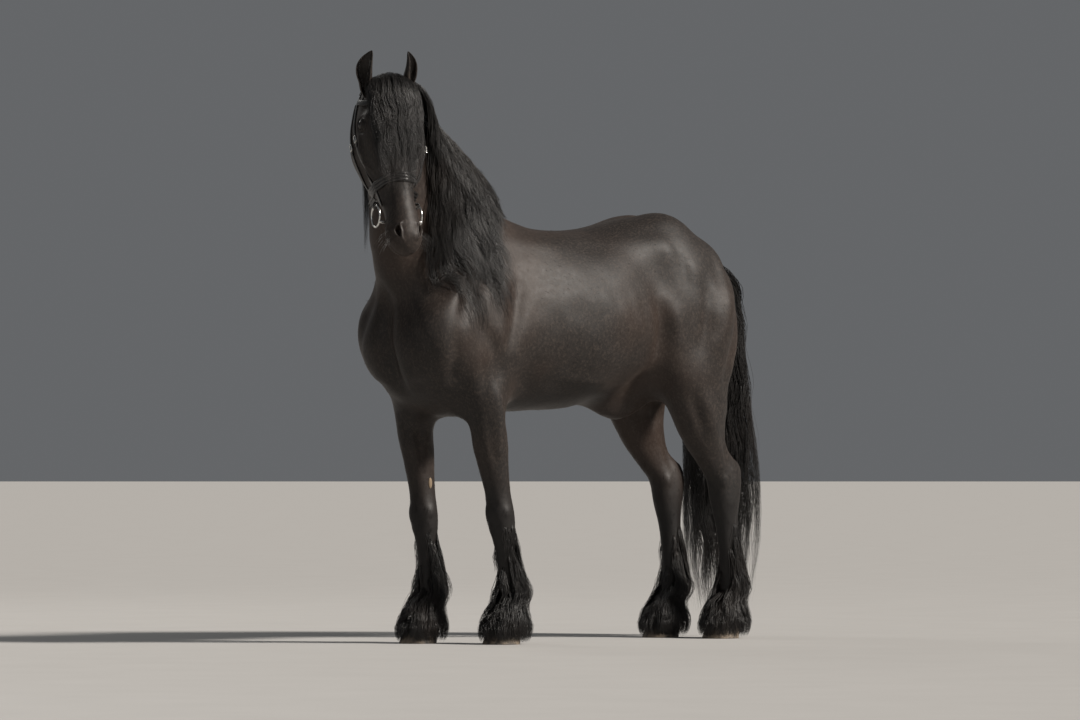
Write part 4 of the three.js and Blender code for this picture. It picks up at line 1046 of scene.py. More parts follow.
def sweep(name, path, normals, profile, closed=False):
    """A profile in millimetres swept along a path in metres."""
    along = np.roll(path, -1, 0) - np.roll(path, 1, 0) if closed else np.gradient(path, axis=0)
    along = unit(along)
    out = unit(normals - along * (normals * along).sum(1)[:, None])
    across = np.cross(along, out)
    profile = np.array(profile) * 0.001
    ring = path[:, None] + profile[None, :, :1] * across[:, None] + profile[None, :, 1:] * out[:, None]
    n, m = len(path), len(profile)
    faces = []
    for i in range(n if closed else n - 1):
        a, b = i * m, (i + 1) % n * m
        faces += [[a + j, a + (j + 1) % m, b + (j + 1) % m, b + j] for j in range(m)]
    if not closed:
        faces += [list(range(m))[::-1], [(n - 1) * m + j for j in range(m)]]
    made = mesh_object(name, ring.reshape(-1, 3), faces)
    facing_out(made)
    smooth_shaded(made)
    return made


def calmed(values, rounds, closed=False):
    for _ in range(rounds):
        if closed:
            values = (np.roll(values, 1, 0) + 2 * values + np.roll(values, -1, 0)) / 4
        else:
            inner = (values[:-2] + 2 * values[1:-1] + values[2:]) / 4
            values = np.vstack([values[:1], inner, values[-1:]])
    return values


print("profiles can be swept along lines")

# %% [markdown]
# The cheek pieces carry the bit, and the thinner hanger behind them carries the noseband. Rays from
# the side find the skin below each line of the side view. For straps that go round, the rays come
# from all round a centre inside the head, and each is moved down the face until it meets the line.

# %% Lines on the head and the side straps
def side_line(line, side, lift=0.0):
    """A line of the side view laid on one side of the head."""
    line = evened(smoothed([[d, o, 0] for d, o in line], 8), 6)
    start = placed(in_head(line[:, 0], line[:, 1], np.full(len(line), side * BESIDE_HEAD)))
    place, normal = cast_on_skin(start, np.tile(-side * HEAD_LEFT, (len(start), 1)))
    normal = unit(calmed(normal, 12))
    return calmed(place + normal * lift * 0.001, 4), normal


def round_line(line, centre, start, end, count, lift=0.0, closed=False):
    """A line of the side view carried round the head, from one turn to another."""
    line = np.array(line, float)
    line = line[np.argsort(line[:, 1])]
    turn = np.radians(np.linspace(start, end, count, endpoint=not closed))
    way = np.cos(turn)[:, None] * HEAD_LEFT + np.sin(turn)[:, None] * OFF_FACE
    down = np.full(count, centre[0])
    for _ in range(4):
        origin = placed(in_head(down, np.full(count, centre[1]), np.zeros(count))) + way * 0.35
        place, normal = cast_on_skin(origin, -way)
        off = head_places(in_body(place))[1]
        down = np.interp(off, line[:, 1], line[:, 0])
    normal = unit(calmed(normal, 12, closed))
    return calmed(place + normal * lift * 0.001, 6, closed), normal


BESIDE_HEAD = 260.0
# Places down and off the face.
CHEEK_LINE = [[20, -112], [100, -122], [215, -130], [320, -124], [405, -110], [476, -107]]
HANGER_LINE = [[60, -150], [162, -172], [320, -190], [396, -196]]
BROW_LINE = [[58, -112], [88, -50], [98, 40]]
NOSE_LINE = [[386, -300], [404, -110], [398, 40]]
THROAT_LINE = [[62, -140], [130, -214], [205, -340]]
CROWN_LINE = [[24, -300], [20, -112], [-14, -100], [-18, 40]]
CHEEK_WIDTH, HANGER_WIDTH = 17, 13

leather = {"headstall": [], "browband": [], "noseband": [], "throatlash": []}
for side in (1, -1):
    for line, width in ((CHEEK_LINE, CHEEK_WIDTH), (HANGER_LINE, HANGER_WIDTH)):
        path, normal = side_line(line, side, 1.0)
        leather["headstall"].append(sweep("strap", path, normal, flat_profile(width, 3.6)))
print("side straps:", len(leather["headstall"]))

# %% [markdown]
# The crown piece goes over the poll behind the ears, the browband across the forehead below them, the
# throatlash under the throat, and the noseband, three padded ridges wide, right round the nose. A
# turn of 0 points to the head's left and 90 off the face.

# %% Straps that go round
# Node, name, line, centre, first and last turn, places, lift, profile, closed.
ROUND_STRAPS = [
    ("headstall", "crown", CROWN_LINE, (20, -112), -8, 188, 70, 3.0, flat_profile(26, 4.0), False),
    ("browband", "brow", BROW_LINE, (70, -108), -2, 182, 80, 2.0, flat_profile(20, 4.2), False),
    ("noseband", "nose", NOSE_LINE, (400, -110), 0, 360, 160, 0.0, padded_profile(36, 9.5), True),
    ("throatlash", "throat", THROAT_LINE, (110, -150), 172, 368, 110, 2.0, flat_profile(15, 3.6), False),
]
for node, name, line, centre, start, end, count, lift, profile, closed in ROUND_STRAPS:
    path, normal = round_line(line, centre, start, end, count, lift, closed)
    leather[node].append(sweep(name, path, normal, profile, closed))
print("straps in each piece:", [len(straps) for straps in leather.values()])

# %% [markdown]
# ## Buckles and keepers
# Each side strap has a buckle: a rounded frame of wire, a prong that lies on the strap, and a keeper, a
# loop of leather just below that holds the strap's end. The frame's outline is a superellipse, which
# is a rectangle with soft corners.

# %% Buckles and keepers
def tube(name, path, radius, closed=False, sides=10):
    """A round wire in metres along a path in metres."""
    turn = 2 * np.pi * np.arange(sides) / sides
    profile = np.column_stack([np.cos(turn), np.sin(turn)]) * radius * 1000
    away = path - path.mean(0)
    spread = np.linalg.svd(away)[2][-1]
    return sweep(name, path, np.tile(spread, (len(path), 1)), profile, closed)


def buckle(side, line, share, width):
    """A rounded frame, its prong and a keeper on a side strap."""
    path, normal = side_line(line, side, 1.0)
    i = int(share * (len(path) - 1))
    at, out, along = path[i] + normal[i] * 0.004, normal[i], unit(path[i + 1] - path[i - 1])
    across = np.cross(along, out)
    turn = np.linspace(0, 2 * np.pi, 40, endpoint=False)
    x = (width / 2 + 3.0) * np.sign(np.cos(turn)) * np.abs(np.cos(turn)) ** 0.5
    y = 12.0 * np.sign(np.sin(turn)) * np.abs(np.sin(turn)) ** 0.5
    frame_path = at + (x[:, None] * across + y[:, None] * along) * 0.001
    made = [tube("buckle", frame_path, 0.0017, True)]
    prong = at + np.linspace(-12, 13, 8)[:, None] * along * 0.001 + 0.0012 * out
    made.append(sweep("prong", prong, np.tile(out, (8, 1)), flat_profile(2.6, 2.0)))
    j = min(len(path) - 2, i + 4)
    over = np.cross(unit(path[j + 1] - path[j - 1]), normal[j]) * (width / 2 + 1.5) * 0.001
    keeper = path[j] + np.linspace(-1, 1, 9)[:, None] * over + normal[j] * 0.003
    return made, sweep("keeper", keeper, np.tile(normal[j], (9, 1)), flat_profile(8, 2.6))


steel = []
for side in (1, -1):
    for line, share, width in ((CHEEK_LINE, 0.40, CHEEK_WIDTH), (HANGER_LINE, 0.48, HANGER_WIDTH)):
        made, loop = buckle(side, line, share, width)
        steel += made
        leather["headstall"].append(loop)
print("buckle pieces:", len(steel))

# %% [markdown]
# ## Bit
# A loose ring stands on each side of the mouth, a leather loop ties it to the cheek piece, and a bar
# that bends a little lies between the rings in the mouth. The rings stay empty. When all wires and
# straps are made, those of one solid are joined, so that the bridle is six objects.

# %% Bit
BIT_DOWN, BIT_OFF, BIT_RING, BIT_SIDE = 515.0, -114.0, 40.0, 84.0
RING_WIRE, BAR_RADIUS, LOOP_RADIUS = 0.0040, 6.5, 9
RING_PLACES, LOOP_PLACES, BAR_PLACES = 72, 18, 41
LOOP_PROFILE = [[-8, 0], [-8, 3], [8, 3], [8, 0]]

turn = np.linspace(0, 2 * np.pi, RING_PLACES, endpoint=False)
loop_turn = turn[::RING_PLACES // LOOP_PLACES]
bit_pieces = []
for side in (1, -1):
    x, y = BIT_DOWN + BIT_RING * np.cos(turn), BIT_OFF + BIT_RING * np.sin(turn)
    ring = placed(in_head(x, y, np.full(RING_PLACES, side * BIT_SIDE)))
    bit_pieces.append(tube("ring", ring, RING_WIRE, True, 16))
    x, y = BIT_DOWN - BIT_RING + LOOP_RADIUS * np.cos(loop_turn), np.full(LOOP_PLACES, BIT_OFF + 6.0)
    loop = placed(in_head(x, y, side * (BIT_SIDE - 2 + LOOP_RADIUS * np.sin(loop_turn))))
    leather["headstall"].append(sweep("loop", loop, loop - loop.mean(0), LOOP_PROFILE, True))
share = np.linspace(-1, 1, BAR_PLACES)
bar_down = BIT_DOWN + BIT_RING * 0.78 + 6 * (1 - share**2)
bar = placed(in_head(bar_down, np.full(BAR_PLACES, BIT_OFF + BIT_RING * 0.62), share * (BIT_SIDE + 3)))
around = 2 * np.pi * np.arange(14) / 14
round_profile = BAR_RADIUS * np.column_stack([np.cos(around), np.sin(around)])
bit_pieces.append(sweep("bar", bar, np.tile(OFF_FACE, (BAR_PLACES, 1)), round_profile))


def joined(pieces, name, node, slot):
    pick(*pieces)
    bpy.ops.object.join()
    pieces[0].name = pieces[0].data.name = name
    unwrapped(pieces[0])
    return stands_for(pieces[0], slot, node)


leather_pieces = [joined(made, name + "_leather", name, "leather") for name, made in leather.items()]
steel_pieces = [joined(bit_pieces, "bit_steel", "bit", "steel")]
steel_pieces.append(joined(steel, "buckles", "headstall", "steel"))
print("bridle pieces:", [o.name for o in leather_pieces + steel_pieces])

# %% [markdown]
# ## Hair as solid strands
# Long hair is built as many thousand thin, tapering tubes, each a closed three-sided mesh. They are
# not laid one by one: a few dozen guides fall first, like locks under a comb. Each step of a guide
# bends its way toward the ground and is then held a little clear of the skin, as a collision would
# do in a simulation, but in one pass and the same in every run.

# %% Guides that hang
def fallen(roots, starts, lengths, lifts, stiff, steps, near=0.07, pull=(0, 0, -1), fixed=None):
    """Paths that leave their roots and hang, kept a little clear of the skin: points and outward ways.

    `fixed` is a way for each path that the skin can't push it along, so that hair hangs plumb.
    """
    at, heading = np.array(roots), unit(np.array(starts))
    paths, ways = [at], [nearest_skin(at)[1]]
    stride = (lengths / steps)[:, None]
    for i in range(steps):
        heading = unit(stiff * heading + (1 - stiff) * np.array(pull))
        goal = at + heading * stride
        foot, normal, _ = nearest_skin(goal)
        push = normal if fixed is None else unit(normal - fixed * (normal * fixed).sum(1, keepdims=True))
        grip = np.maximum(0.35, (push * normal).sum(1))
        away = ((goal - foot) * normal).sum(1)
        lift = lifts * min(1.0, 0.35 + 3.0 * i / steps)
        close = np.linalg.norm(goal - foot, axis=1) < 0.15
        settle = np.where(away > lift, 0.25 * np.clip((away - lift) / near, 0, 1), 1.0)
        goal = goal + push * ((lift - away) * settle * close / grip)[:, None]
        heading = unit(goal - at)
        at = at + heading * stride
        paths.append(at)
        ways.append(normal)
    ways[0] = ways[1]
    ways = np.stack(ways, 1)
    for _ in range(3):
        ways[:, 1:-1] = (ways[:, :-2] + 2 * ways[:, 1:-1] + ways[:, 2:]) / 4
    return np.stack(paths, 1), unit(ways)


test = fallen(np.array([[0.0, 0.0, 2.0]]), X_WAY, np.ones(1), np.zeros(1), 0.7, 20)[0]
print("a guide of 1 m that starts level hangs", round(2.0 - test[0, -1, 2], 3), "m down")

# %% [markdown]
# Every guide then carries a bundle of strands. They share one broad wave, which makes the lock, and
# each adds a finer wave and a stray tip of its own, which makes it hair. A strand's place in the
# bundle is drawn once: across the lock with most in the middle, and evenly through its thickness.

# %% Strands along guides
def combed(paths, ways, per_guide, half, thick, sections, rng, sway, waves, phase, crimp, loose=0.35,
           shorter=0.25, narrow=0.45):
    """Strands along guides: every guide's bundle shares one wave, and each strand adds its own."""
    count = len(paths) * per_guide
    which = np.repeat(np.arange(len(paths)), per_guide)
    reach = 1 - shorter * rng.random(count) ** 1.6
    t = np.linspace(0, 1, sections)[None] * reach[:, None]
    place = t * (paths.shape[1] - 1)
    low = np.minimum(place.astype(int), paths.shape[1] - 2)
    part = (place - low)[..., None]
    middle = paths[which[:, None], low] * (1 - part) + paths[which[:, None], low + 1] * part
    out = unit(ways[which[:, None], low] * (1 - part) + ways[which[:, None], low + 1] * part)
    along = unit(np.gradient(middle, axis=1))
    out = unit(out - along * (out * along).sum(-1, keepdims=True))
    across = np.cross(out, along)
    u = np.clip(rng.normal(0, 0.5, count), -1.15, 1.15)
    v = rng.random(count)
    belly = 0.45 + 0.55 * np.sin(np.pi / 2 * np.minimum(1, t / 0.4))
    width = (half if np.ndim(half) == 0 else half[which][:, None]) * belly * (1 - narrow * t**1.5)
    own = rng.uniform(0, 2 * np.pi, (2, count, 1))
    beat = phase[which][:, None] + rng.normal(0, 0.28, (count, 1)) + 0.5 * u[:, None]
    drift = sway * np.sin(beat + 2 * np.pi * waves[which][:, None] * t) * np.minimum(1, 3 * t)
    crimps = waves[which][:, None] * 2.1 + rng.normal(0, 0.3, (count, 1))
    fine = crimp * np.sin(own[0] + 2 * np.pi * crimps * t)
    stray = loose * width * np.sin(own[1] + 2.5 * t) * t**2
    x = u[:, None] * width + drift + fine * np.minimum(1, 3 * t) + stray
    y = thick * (v[:, None] - 0.15) * (1 - 0.3 * t)
    y = y + 0.5 * fine * np.cos(own[1]) + 0.3 * drift * np.cos(own[0])
    return middle + (x[..., None] * across + y[..., None] * out), out


print("guides can carry strands")

# %% [markdown]
# The strands become meshes in one stroke, because a loop over thirty thousand of them would take
# minutes. A strand's faces are the same list of corners each time, shifted by its first point. It is
# flat and three-sided, thickens from the root and tapers to a point. Each takes one tiny patch of
# the skin's map, where it grows, so that a bake gives it the colour of its place.

# %% Hair meshes
PATCH = 0.003  # a strand's patch of the map, both ways


def kept_out(strands, clear, first=2):
    """Push strands that dip into the skin back out, from a given section on."""
    flat = strands[:, first:].reshape(-1, 3)
    foot, normal, _ = nearest_skin(flat)
    away = ((flat - foot) * normal).sum(1)
    close = np.linalg.norm(flat - foot, axis=1) < 0.06
    flat += normal * (np.maximum(0, clear - away) * close)[:, None]
    strands[:, first:] = flat.reshape(strands[:, first:].shape)
    return strands


def hair_object(name, strands, ways, width, flat, nodes, floor=0.0, slot="hair"):
    """One mesh of closed three-sided strands. Width is the half width in metres, for each strand."""
    count, sections = strands.shape[:2]
    strands[..., 2] = np.maximum(strands[..., 2], floor)
    along = unit(np.gradient(strands, axis=1))
    out = unit(ways - along * (ways * along).sum(-1, keepdims=True))
    across = np.cross(out, along)
    t = np.linspace(0, 1, sections)
    taper = (0.55 + 0.45 * np.minimum(1, 5 * t)) * (1 - t**2.4 * 0.9)
    w = width[:, None, None] * taper[None, :, None]
    ring = np.stack([strands + across * w, strands + out * w * flat, strands - across * w], 2)
    points = np.concatenate([ring[:, :-1].reshape(count, -1, 3), strands[:, -1:]], 1)
    per = points.shape[1]
    i, j = np.meshgrid(np.arange(sections - 2), np.arange(3), indexing="ij")
    a, b = (3 * i + j).ravel(), (3 * i + (j + 1) % 3).ravel()
    last = 3 * (sections - 2)
    one = np.vstack([
        np.stack([a, b, a + 3], -1), np.stack([b, b + 3, a + 3], -1),
        [[last + j, last + (j + 1) % 3, per - 1] for j in range(3)], [[0, 2, 1]],
    ])
    faces = (one[None] + (np.arange(count) * per)[:, None, None]).reshape(-1, 3)
    mesh = bpy.data.meshes.new(name)
    mesh.vertices.add(count * per)
    mesh.vertices.foreach_set("co", points.reshape(-1).astype(np.float32))
    mesh.loops.add(faces.size)
    mesh.loops.foreach_set("vertex_index", faces.ravel().astype(np.int32))
    mesh.polygons.add(len(faces))
    mesh.polygons.foreach_set("loop_start", np.arange(0, faces.size, 3, dtype=np.int32))
    mesh.polygons.foreach_set("use_smooth", np.ones(len(faces), bool))
    mesh.update(calc_edges=True)
    root_map = skin_map[nearest_skin(strands[:, 0])[2]]
    step = np.append(np.repeat(np.arange(sections - 1), 3) / (sections - 1), 1.0)
    side = np.append(np.tile([0.0, 0.5, 1.0], sections - 1), 0.5)
    spot = (np.stack([side, step], -1) - 0.5) * PATCH
    corner_map = np.clip((root_map[:, None] + spot[None]).reshape(-1, 2)[faces.ravel()], 0, 1)
    mesh.uv_layers.new(name="OFBake").data.foreach_set("uv", corner_map.astype(np.float32).ravel())
    made = bpy.data.objects.new(name, mesh)
    scene.collection.objects.link(made)
    return stands_for(made, slot, *nodes)


hair = []
print("strands can become meshes")

# %% [markdown]
# ## Mane
# The mane falls from the whole crest to the left, thick and waved, and reaches the point of the
# shoulder. A few locks fall on the right beside the throat, where the photo shows one hanging free.

# %% Mane
CREST_STEPS = 24


def crest(shares, side, spread, rng, deep):
    """Roots from the withers (0) to the poll (1), the ways hair leaves them, and the level way along."""
    middle, along, up, left, size = sections(NECK, CREST_STEPS, Z_WAY)
    at = np.clip(((1.1 + 5.4 * shares) * CREST_STEPS).astype(int), 0, len(middle) - 1)
    reach = size[at, 1] - deep
    offset = side * spread * rng.random(len(at))
    root = middle[at] + up[at] * (reach - 0.010 * offset**2)[:, None] + left[at] * offset[:, None]
    level = unit(along[at] * [1, 1, 0])
    return placed(root), 0.55 * up[at] + 0.95 * side * left[at], level


MANE_LAYERS = [
    # Guides, strands each, side, from, to, half width, thickness, lift, sections, strand width.
    [26, 30, 1, 0.00, 0.99, 38, 12, 8, 14, 1.7], [26, 34, 1, 0.01, 0.98, 36, 14, 18, 18, 1.3],
    [26, 34, 1, 0.03, 0.97, 34, 14, 30, 20, 1.15], [20, 28, 1, 0.14, 0.97, 28, 12, 40, 21, 1.0],
    [7, 40, -1, 0.76, 0.99, 24, 12, 9, 21, 1.0],
]
# How long the hair is, in metres, from the withers (0) to the poll (1).
MANE_SHARE, MANE_LENGTH = [0, 0.12, 0.25, 0.45, 0.6, 0.85, 1], [0.10, 0.16, 0.28, 0.52, 0.78, 1.04, 1.0]
OFF_SIDE_LENGTH = 0.66
MANE_WAVE = 0.17  # metres from one wave to the next

rng = np.random.default_rng(7)
for number, (guides, per, side, first, last, half, thick, lift, cuts, fat) in enumerate(MANE_LAYERS):
    shares = first + (last - first) * (np.arange(guides) + rng.uniform(0.2, 0.8, guides)) / guides
    roots, starts, level = crest(shares, side, 14.0, rng, 10.0)
    long = np.interp(shares, MANE_SHARE, MANE_LENGTH) if side > 0 else OFF_SIDE_LENGTH
    long = long * rng.uniform(0.80, 1.08, guides)
    paths, ways = fallen(roots, starts, long, np.full(guides, lift * 0.001), 0.72, 26, fixed=level)
    widths = half * 0.001 * rng.uniform(0.8, 1.2, guides)
    beats = 9 * shares + lift + rng.normal(0, 0.4, guides)
    strands, out = combed(paths, ways, per, widths, thick * 0.001, cuts, rng, sway=0.011,
                          waves=long / MANE_WAVE, phase=beats, crimp=0.0024)
    strands = kept_out(strands, 0.002 + 0.0002 * number)
    thin = fat * 0.001 * rng.uniform(0.7, 1.25, len(strands))
    hair.append(hair_object(f"mane_{number}", strands, out, thin, 0.5, ["neck"]))
print("mane strands:", sum(layer[0] * layer[1] for layer in MANE_LAYERS))

# %% [markdown]
# ## Forelock
# It starts between the ears and covers the face down to the noseband, so the guides fan out over the
# forehead and draw together again on the nose.

# %% Forelock
# Guides, strands each, spread, length, lift.
FORELOCK_LAYERS = [[16, 26, 1.1, 0.53, 7], [14, 28, 0.9, 0.55, 16], [9, 26, 0.65, 0.50, 24]]
FORELOCK_WAVE = 0.15

rng = np.random.default_rng(21)
for number, (guides, per, spread, length, lift) in enumerate(FORELOCK_LAYERS):
    share = (np.arange(guides) + rng.uniform(0.2, 0.8, guides)) / guides * 2 - 1
    roots = placed(in_head(12 - 12 * np.abs(share), -40 - 14 * rng.random(guides), share * 50))
    roots = nearest_skin(roots)[0]
    starts = OFF_FACE + (share * spread)[:, None] * HEAD_LEFT + 0.1 * Z_WAY
    long = length * rng.uniform(0.84, 1.06, guides) * (1 - 0.12 * np.abs(share))
    paths, ways = fallen(roots, starts, long, np.full(guides, lift * 0.001), 0.80, 24, pull=DOWN_FACE)
    widths = 0.019 * rng.uniform(0.8, 1.2, guides)
    beats = 3 * share + lift + rng.normal(0, 0.4, guides)
    strands, out = combed(paths, ways, per, widths, 0.010, 19, rng, sway=0.007, waves=long / FORELOCK_WAVE,
                          phase=beats, crimp=0.0020)
    strands = kept_out(strands, 0.003 + 0.001 * number)
    thin = 0.001 * rng.uniform(0.6, 1.1, len(strands))
    hair.append(hair_object(f"forelock_{number}", strands, out, thin, 0.5, ["head"]))
print("forelock strands:", sum(layer[0] * layer[1] for layer in FORELOCK_LAYERS))

# %% [markdown]
# ## Tail
# The dock, the fleshy root of the tail, carries the hair for the first third. It is a loft of its own
# and stays hidden, but it closes the gaps between the strands.

# %% Dock
DOCK = [
    [-630, 0, 1440, 24, 20, 10, 2, 2], [-732, -12, 1416, 26, 26, 10, 2, 2],
    [-782, -28, 1360, 32, 36, 20, 2, 2], [-812, -48, 1270, 40, 40, 32, 2, 2],
    [-822, -70, 1050, 42, 34, 32, 2, 2], [-832, -82, 850, 28, 18, 18, 2, 2],
]
TAIL_AHEAD = np.array([1.0, 0, 0.01])

dock = stands_for(shell_object("dock", *loft(DOCK, 28, 6, TAIL_AHEAD)), "hair", "tail")
print("dock:", len(dock.data.polygons), "faces")

# %% [markdown]
# Below the dock the tail hangs as one heavy bundle that is widest at the height of the hocks. Here the
# guides don't fall but run down the bundle, each at its own turn and depth, because a tail this thick
# keeps its shape. The inner layer is coarse and short, and the outer one fine.

# %% Tail
TAIL_BUNDLE = [
    [-655, -2, 1446, 36, 40, 12, 2, 2], [-732, -12, 1420, 42, 56, 14, 2, 2],
    [-782, -28, 1362, 56, 78, 28, 2, 2], [-810, -50, 1250, 72, 84, 44, 2, 2],
    [-820, -74, 1050, 98, 108, 58, 2, 2], [-832, -92, 850, 124, 118, 74, 2, 2],
    [-846, -98, 600, 150, 126, 86, 2, 2], [-850, -102, 350, 152, 122, 80, 2, 2],
    [-846, -98, 70, 112, 90, 56, 2, 2],
]
TAIL_STEPS, TAIL_STATION, TAIL_WAVE = 30, 0.21, 0.24
# Guides, strands each, share of the bundle's reach, strand width, sections.
TAIL_LAYERS = [[20, 32, 0.40, 2.0, 17], [28, 34, 0.74, 1.6, 22], [38, 34, 1.0, 1.35, 25]]

rng = np.random.default_rng(5)
spine, along, up, left, size = sections(TAIL_BUNDLE, TAIL_STEPS, TAIL_AHEAD)
for number, (guides, per, share, fat, cuts) in enumerate(TAIL_LAYERS):
    turn = 2 * np.pi * (np.arange(guides) + rng.uniform(0, 0.6, guides)) / guides
    first = rng.uniform(0.0, 2.3, guides) ** 1.3 * TAIL_STEPS
    last = (len(spine) - 1) * (1 - 0.14 * rng.random(guides) ** 2)
    t = np.linspace(0, 1, 41)
    at = (first[:, None] + (last - first)[:, None] * t).astype(int)
    depth = share * (0.75 + 0.25 * np.minimum(1, t * 4)) * (1 + 0.10 * np.sin(5 * t + turn[:, None] * 3))
    sideways = np.cos(turn)[:, None, None] * left[at]
    ahead = np.sin(turn)[:, None, None] * up[at]
    paths = spine[at] + (size[at, 0] * depth)[..., None] * sideways + (size[at, 1] * depth)[..., None] * ahead
    ways = unit(sideways + ahead)
    long = (last - first) / TAIL_STEPS * TAIL_STATION
    widths = 0.034 * rng.uniform(0.8, 1.25, guides)
    beats = turn * 2 + rng.normal(0, 0.7, guides)
    strands, out = combed(placed(paths), ways, per, widths, 0.020, cuts, rng, sway=0.014,
                          waves=long / TAIL_WAVE, phase=beats, crimp=0.0028,
                          loose=0.3, shorter=0.22, narrow=0.35)
    thin = fat * 0.001 * rng.uniform(0.7, 1.25, len(strands))
    hair.append(hair_object(f"tail_{number}", strands, out, thin, 0.5, ["tail"], 0.012))
print("tail triangles:", [len(o.data.polygons) for o in hair[-3:]])

# %% [markdown]
# ## Feathering
# From below the knee the hair of the cannon lengthens, and from the fetlock a bell of hair falls over
# the hoof and draws in again just above the floor.

# %% Guides of the feathering
def round_foot(z, turn, table):
    """Reach of a foot's outline at a height and a turn: the table gives height, front, side, back."""
    table = np.array(table, float)
    front, side, back = (np.interp(z, table[:, 0], table[:, k]) for k in (1, 2, 3))
    c, s = np.cos(turn), np.sin(turn)
    return np.where(c > 0, front, back) * c, side * s


# Height, then reach ahead, to the side and behind: the bell of hair, and the foot inside it.
BELL = [[2, 88, 80, 92], [30, 99, 91, 108], [70, 99, 93, 116], [115, 82, 82, 110], [160, 58, 64, 88]]
WALL = [[0, 74, 70, 62], [30, 68, 65, 60], [80, 54, 54, 54], [110, 46, 46, 52], [160, 46, 46, 60]]


def feather_guides(name, rng, count, low, high, front, depth, even=False):
    """Paths of feather locks from their roots on a leg down to the floor, and their turns."""
    rows = leg_rows(name)
    middle, along, up, left, size = sections(rows, 12, X_WAY)
    order = np.argsort(middle[:, 2])
    heights = middle[order, 2]
    foot = rows[-1]
    turn = (np.pi * (1 + front * rng.uniform(-1, 1, count)))[:, None]
    behind = 0.5 - 0.5 * np.cos(turn[:, 0])
    top = low + (high - low) * (rng.random(count) ** 1.7 if even else rng.random(count) * behind**1.2)
    fall = np.interp(top, [130, 220, 330, 450], [0.150, 0.235, 0.230, 0.150]) * rng.uniform(0.85, 1.15, count)
    fall = fall * (0.5 + 0.4 * behind) if even else fall
    bottom = np.maximum(top - fall * 1000, rng.uniform(1, 14, count))
    t = np.linspace(0, 1, 19)[None]
    z = top[:, None] + (bottom - top)[:, None] * t
    x, y = (np.interp(z, heights, middle[order, k]) for k in (0, 1))
    half, ahead, back = (np.interp(z, heights, size[order, k]) for k in (0, 1, 2))
    c, s = np.cos(turn), np.sin(turn)
    leg_x, leg_y = np.where(c > 0, ahead, back) * c, half * s
    out = np.interp(z, [160, 250, 350, 440], [24, 15, 7, 0.5]) * (1.25 + 0.9 * behind[:, None])
    wall_x, wall_y = round_foot(z, turn, WALL)
    bell_x, bell_y = round_foot(z, turn, BELL)
    share = smoothstep(215, 120, z)
    inner_x = (x + leg_x) * (1 - share) + (foot[0] + 12 + wall_x) * share
    inner_y = (y + leg_y) * (1 - share) + (foot[1] + wall_y) * share
    outer_x = (x + leg_x + out * c) * (1 - share) + (foot[0] + 10 + bell_x) * share
    outer_y = (y + leg_y + out * s) * (1 - share) + (foot[1] + bell_y) * share
    deep = (-0.25 + (depth + 0.25) * np.minimum(1, 2.0 * t) ** 0.8) * rng.uniform(0.85, 1.1, (count, 1))
    places = np.stack([inner_x + (outer_x - inner_x) * deep, inner_y + (outer_y - inner_y) * deep, z], -1)
    ways = np.broadcast_to(np.stack([c, s, 0 * c], -1), places.shape)
    return placed(places), unit(ways), turn[:, 0]


print("bell of hair:", len(BELL), "heights")

# %% [markdown]
# Seven layers make the feather of one leg. Four fall from the cannon and the pastern, each at its own
# depth in the bell, one lies outermost, and two are spread evenly over cannon and fetlock, so that
# the long hair starts without an edge. Each strand's root is eased onto the skin.

# %% Feathering
# Guides, strands each, lowest and highest root, share of the way round, depth in the bell, sections,
# and whether the roots are spread evenly, for the shaggy cannon, or higher at the back.
FEATHER_LAYERS = [
    [44, 9, 300, 470, 0.6, 0.6, 8, False], [34, 10, 180, 360, 0.75, 0.95, 9, False],
    [32, 10, 150, 250, 0.95, 0.8, 9, False], [34, 9, 112, 180, 1.0, 0.45, 8, False],
    [36, 9, 118, 200, 1.0, 0.98, 8, False], [48, 9, 150, 300, 1.0, 0.8, 7, True],
    [60, 10, 230, 455, 0.62, 0.45, 6, True],
]
EASED = 0.45  # share of a strand that bends toward its root

for number, name in enumerate(STANCE):
    rng = np.random.default_rng(40 + number)
    for layer, (guides, per, low, high, front, depth, cuts, even) in enumerate(FEATHER_LAYERS):
        paths, ways, turn = feather_guides(name, rng, guides, low, high, front, depth, even)
        widths = 0.017 * rng.uniform(0.8, 1.25, guides)
        waves = rng.uniform(1.2, 2.0, guides)
        beats = 3 * turn + rng.normal(0, 0.5, guides)
        strands, out = combed(paths, ways, per, widths, 0.008, cuts, rng, sway=0.004, waves=waves,
                              phase=beats, crimp=0.0016, loose=0.5, shorter=0.1, narrow=0.1)
        foot = nearest_skin(strands[:, 0])[0]
        ease = np.clip(1 - np.linspace(0, 1, cuts) / EASED, 0, 1)[:, None]
        strands = kept_out(strands + (foot - strands[:, 0])[:, None] * ease, 0.0015)
        thin = 0.001 * rng.uniform(0.8, 1.35, len(strands))
        node = "lower_leg_" + name
        hair.append(hair_object(f"feather_{name}_{layer}", strands, out, thin, 0.5, [node], 0.004))
print("feather triangles a leg:", sum(len(o.data.polygons) for o in hair[-len(FEATHER_LAYERS):]))
print("all hair:", sum(len(o.data.polygons) for o in hair), "triangles")

# %% [markdown]
# ## Short tufts on the whole coat
# The short coat is mostly bump, but a bare mesh has a hard, plastic outline. Thousands of small tufts
# that lie with the coat break it, a little longer on the belly and the legs and tiny on the face.
# They are the same strands as the long hair, with very few sections. They take the skin's own
# normals, so that they shade as the coat does and only break its edge.

# %% Tufts
TUFTS, TUFT_CUTS = 9000, 4
BODY_TUFT, FACE_TUFT = (0.017, 0.0006), (0.006, 0.00035)  # length and half width


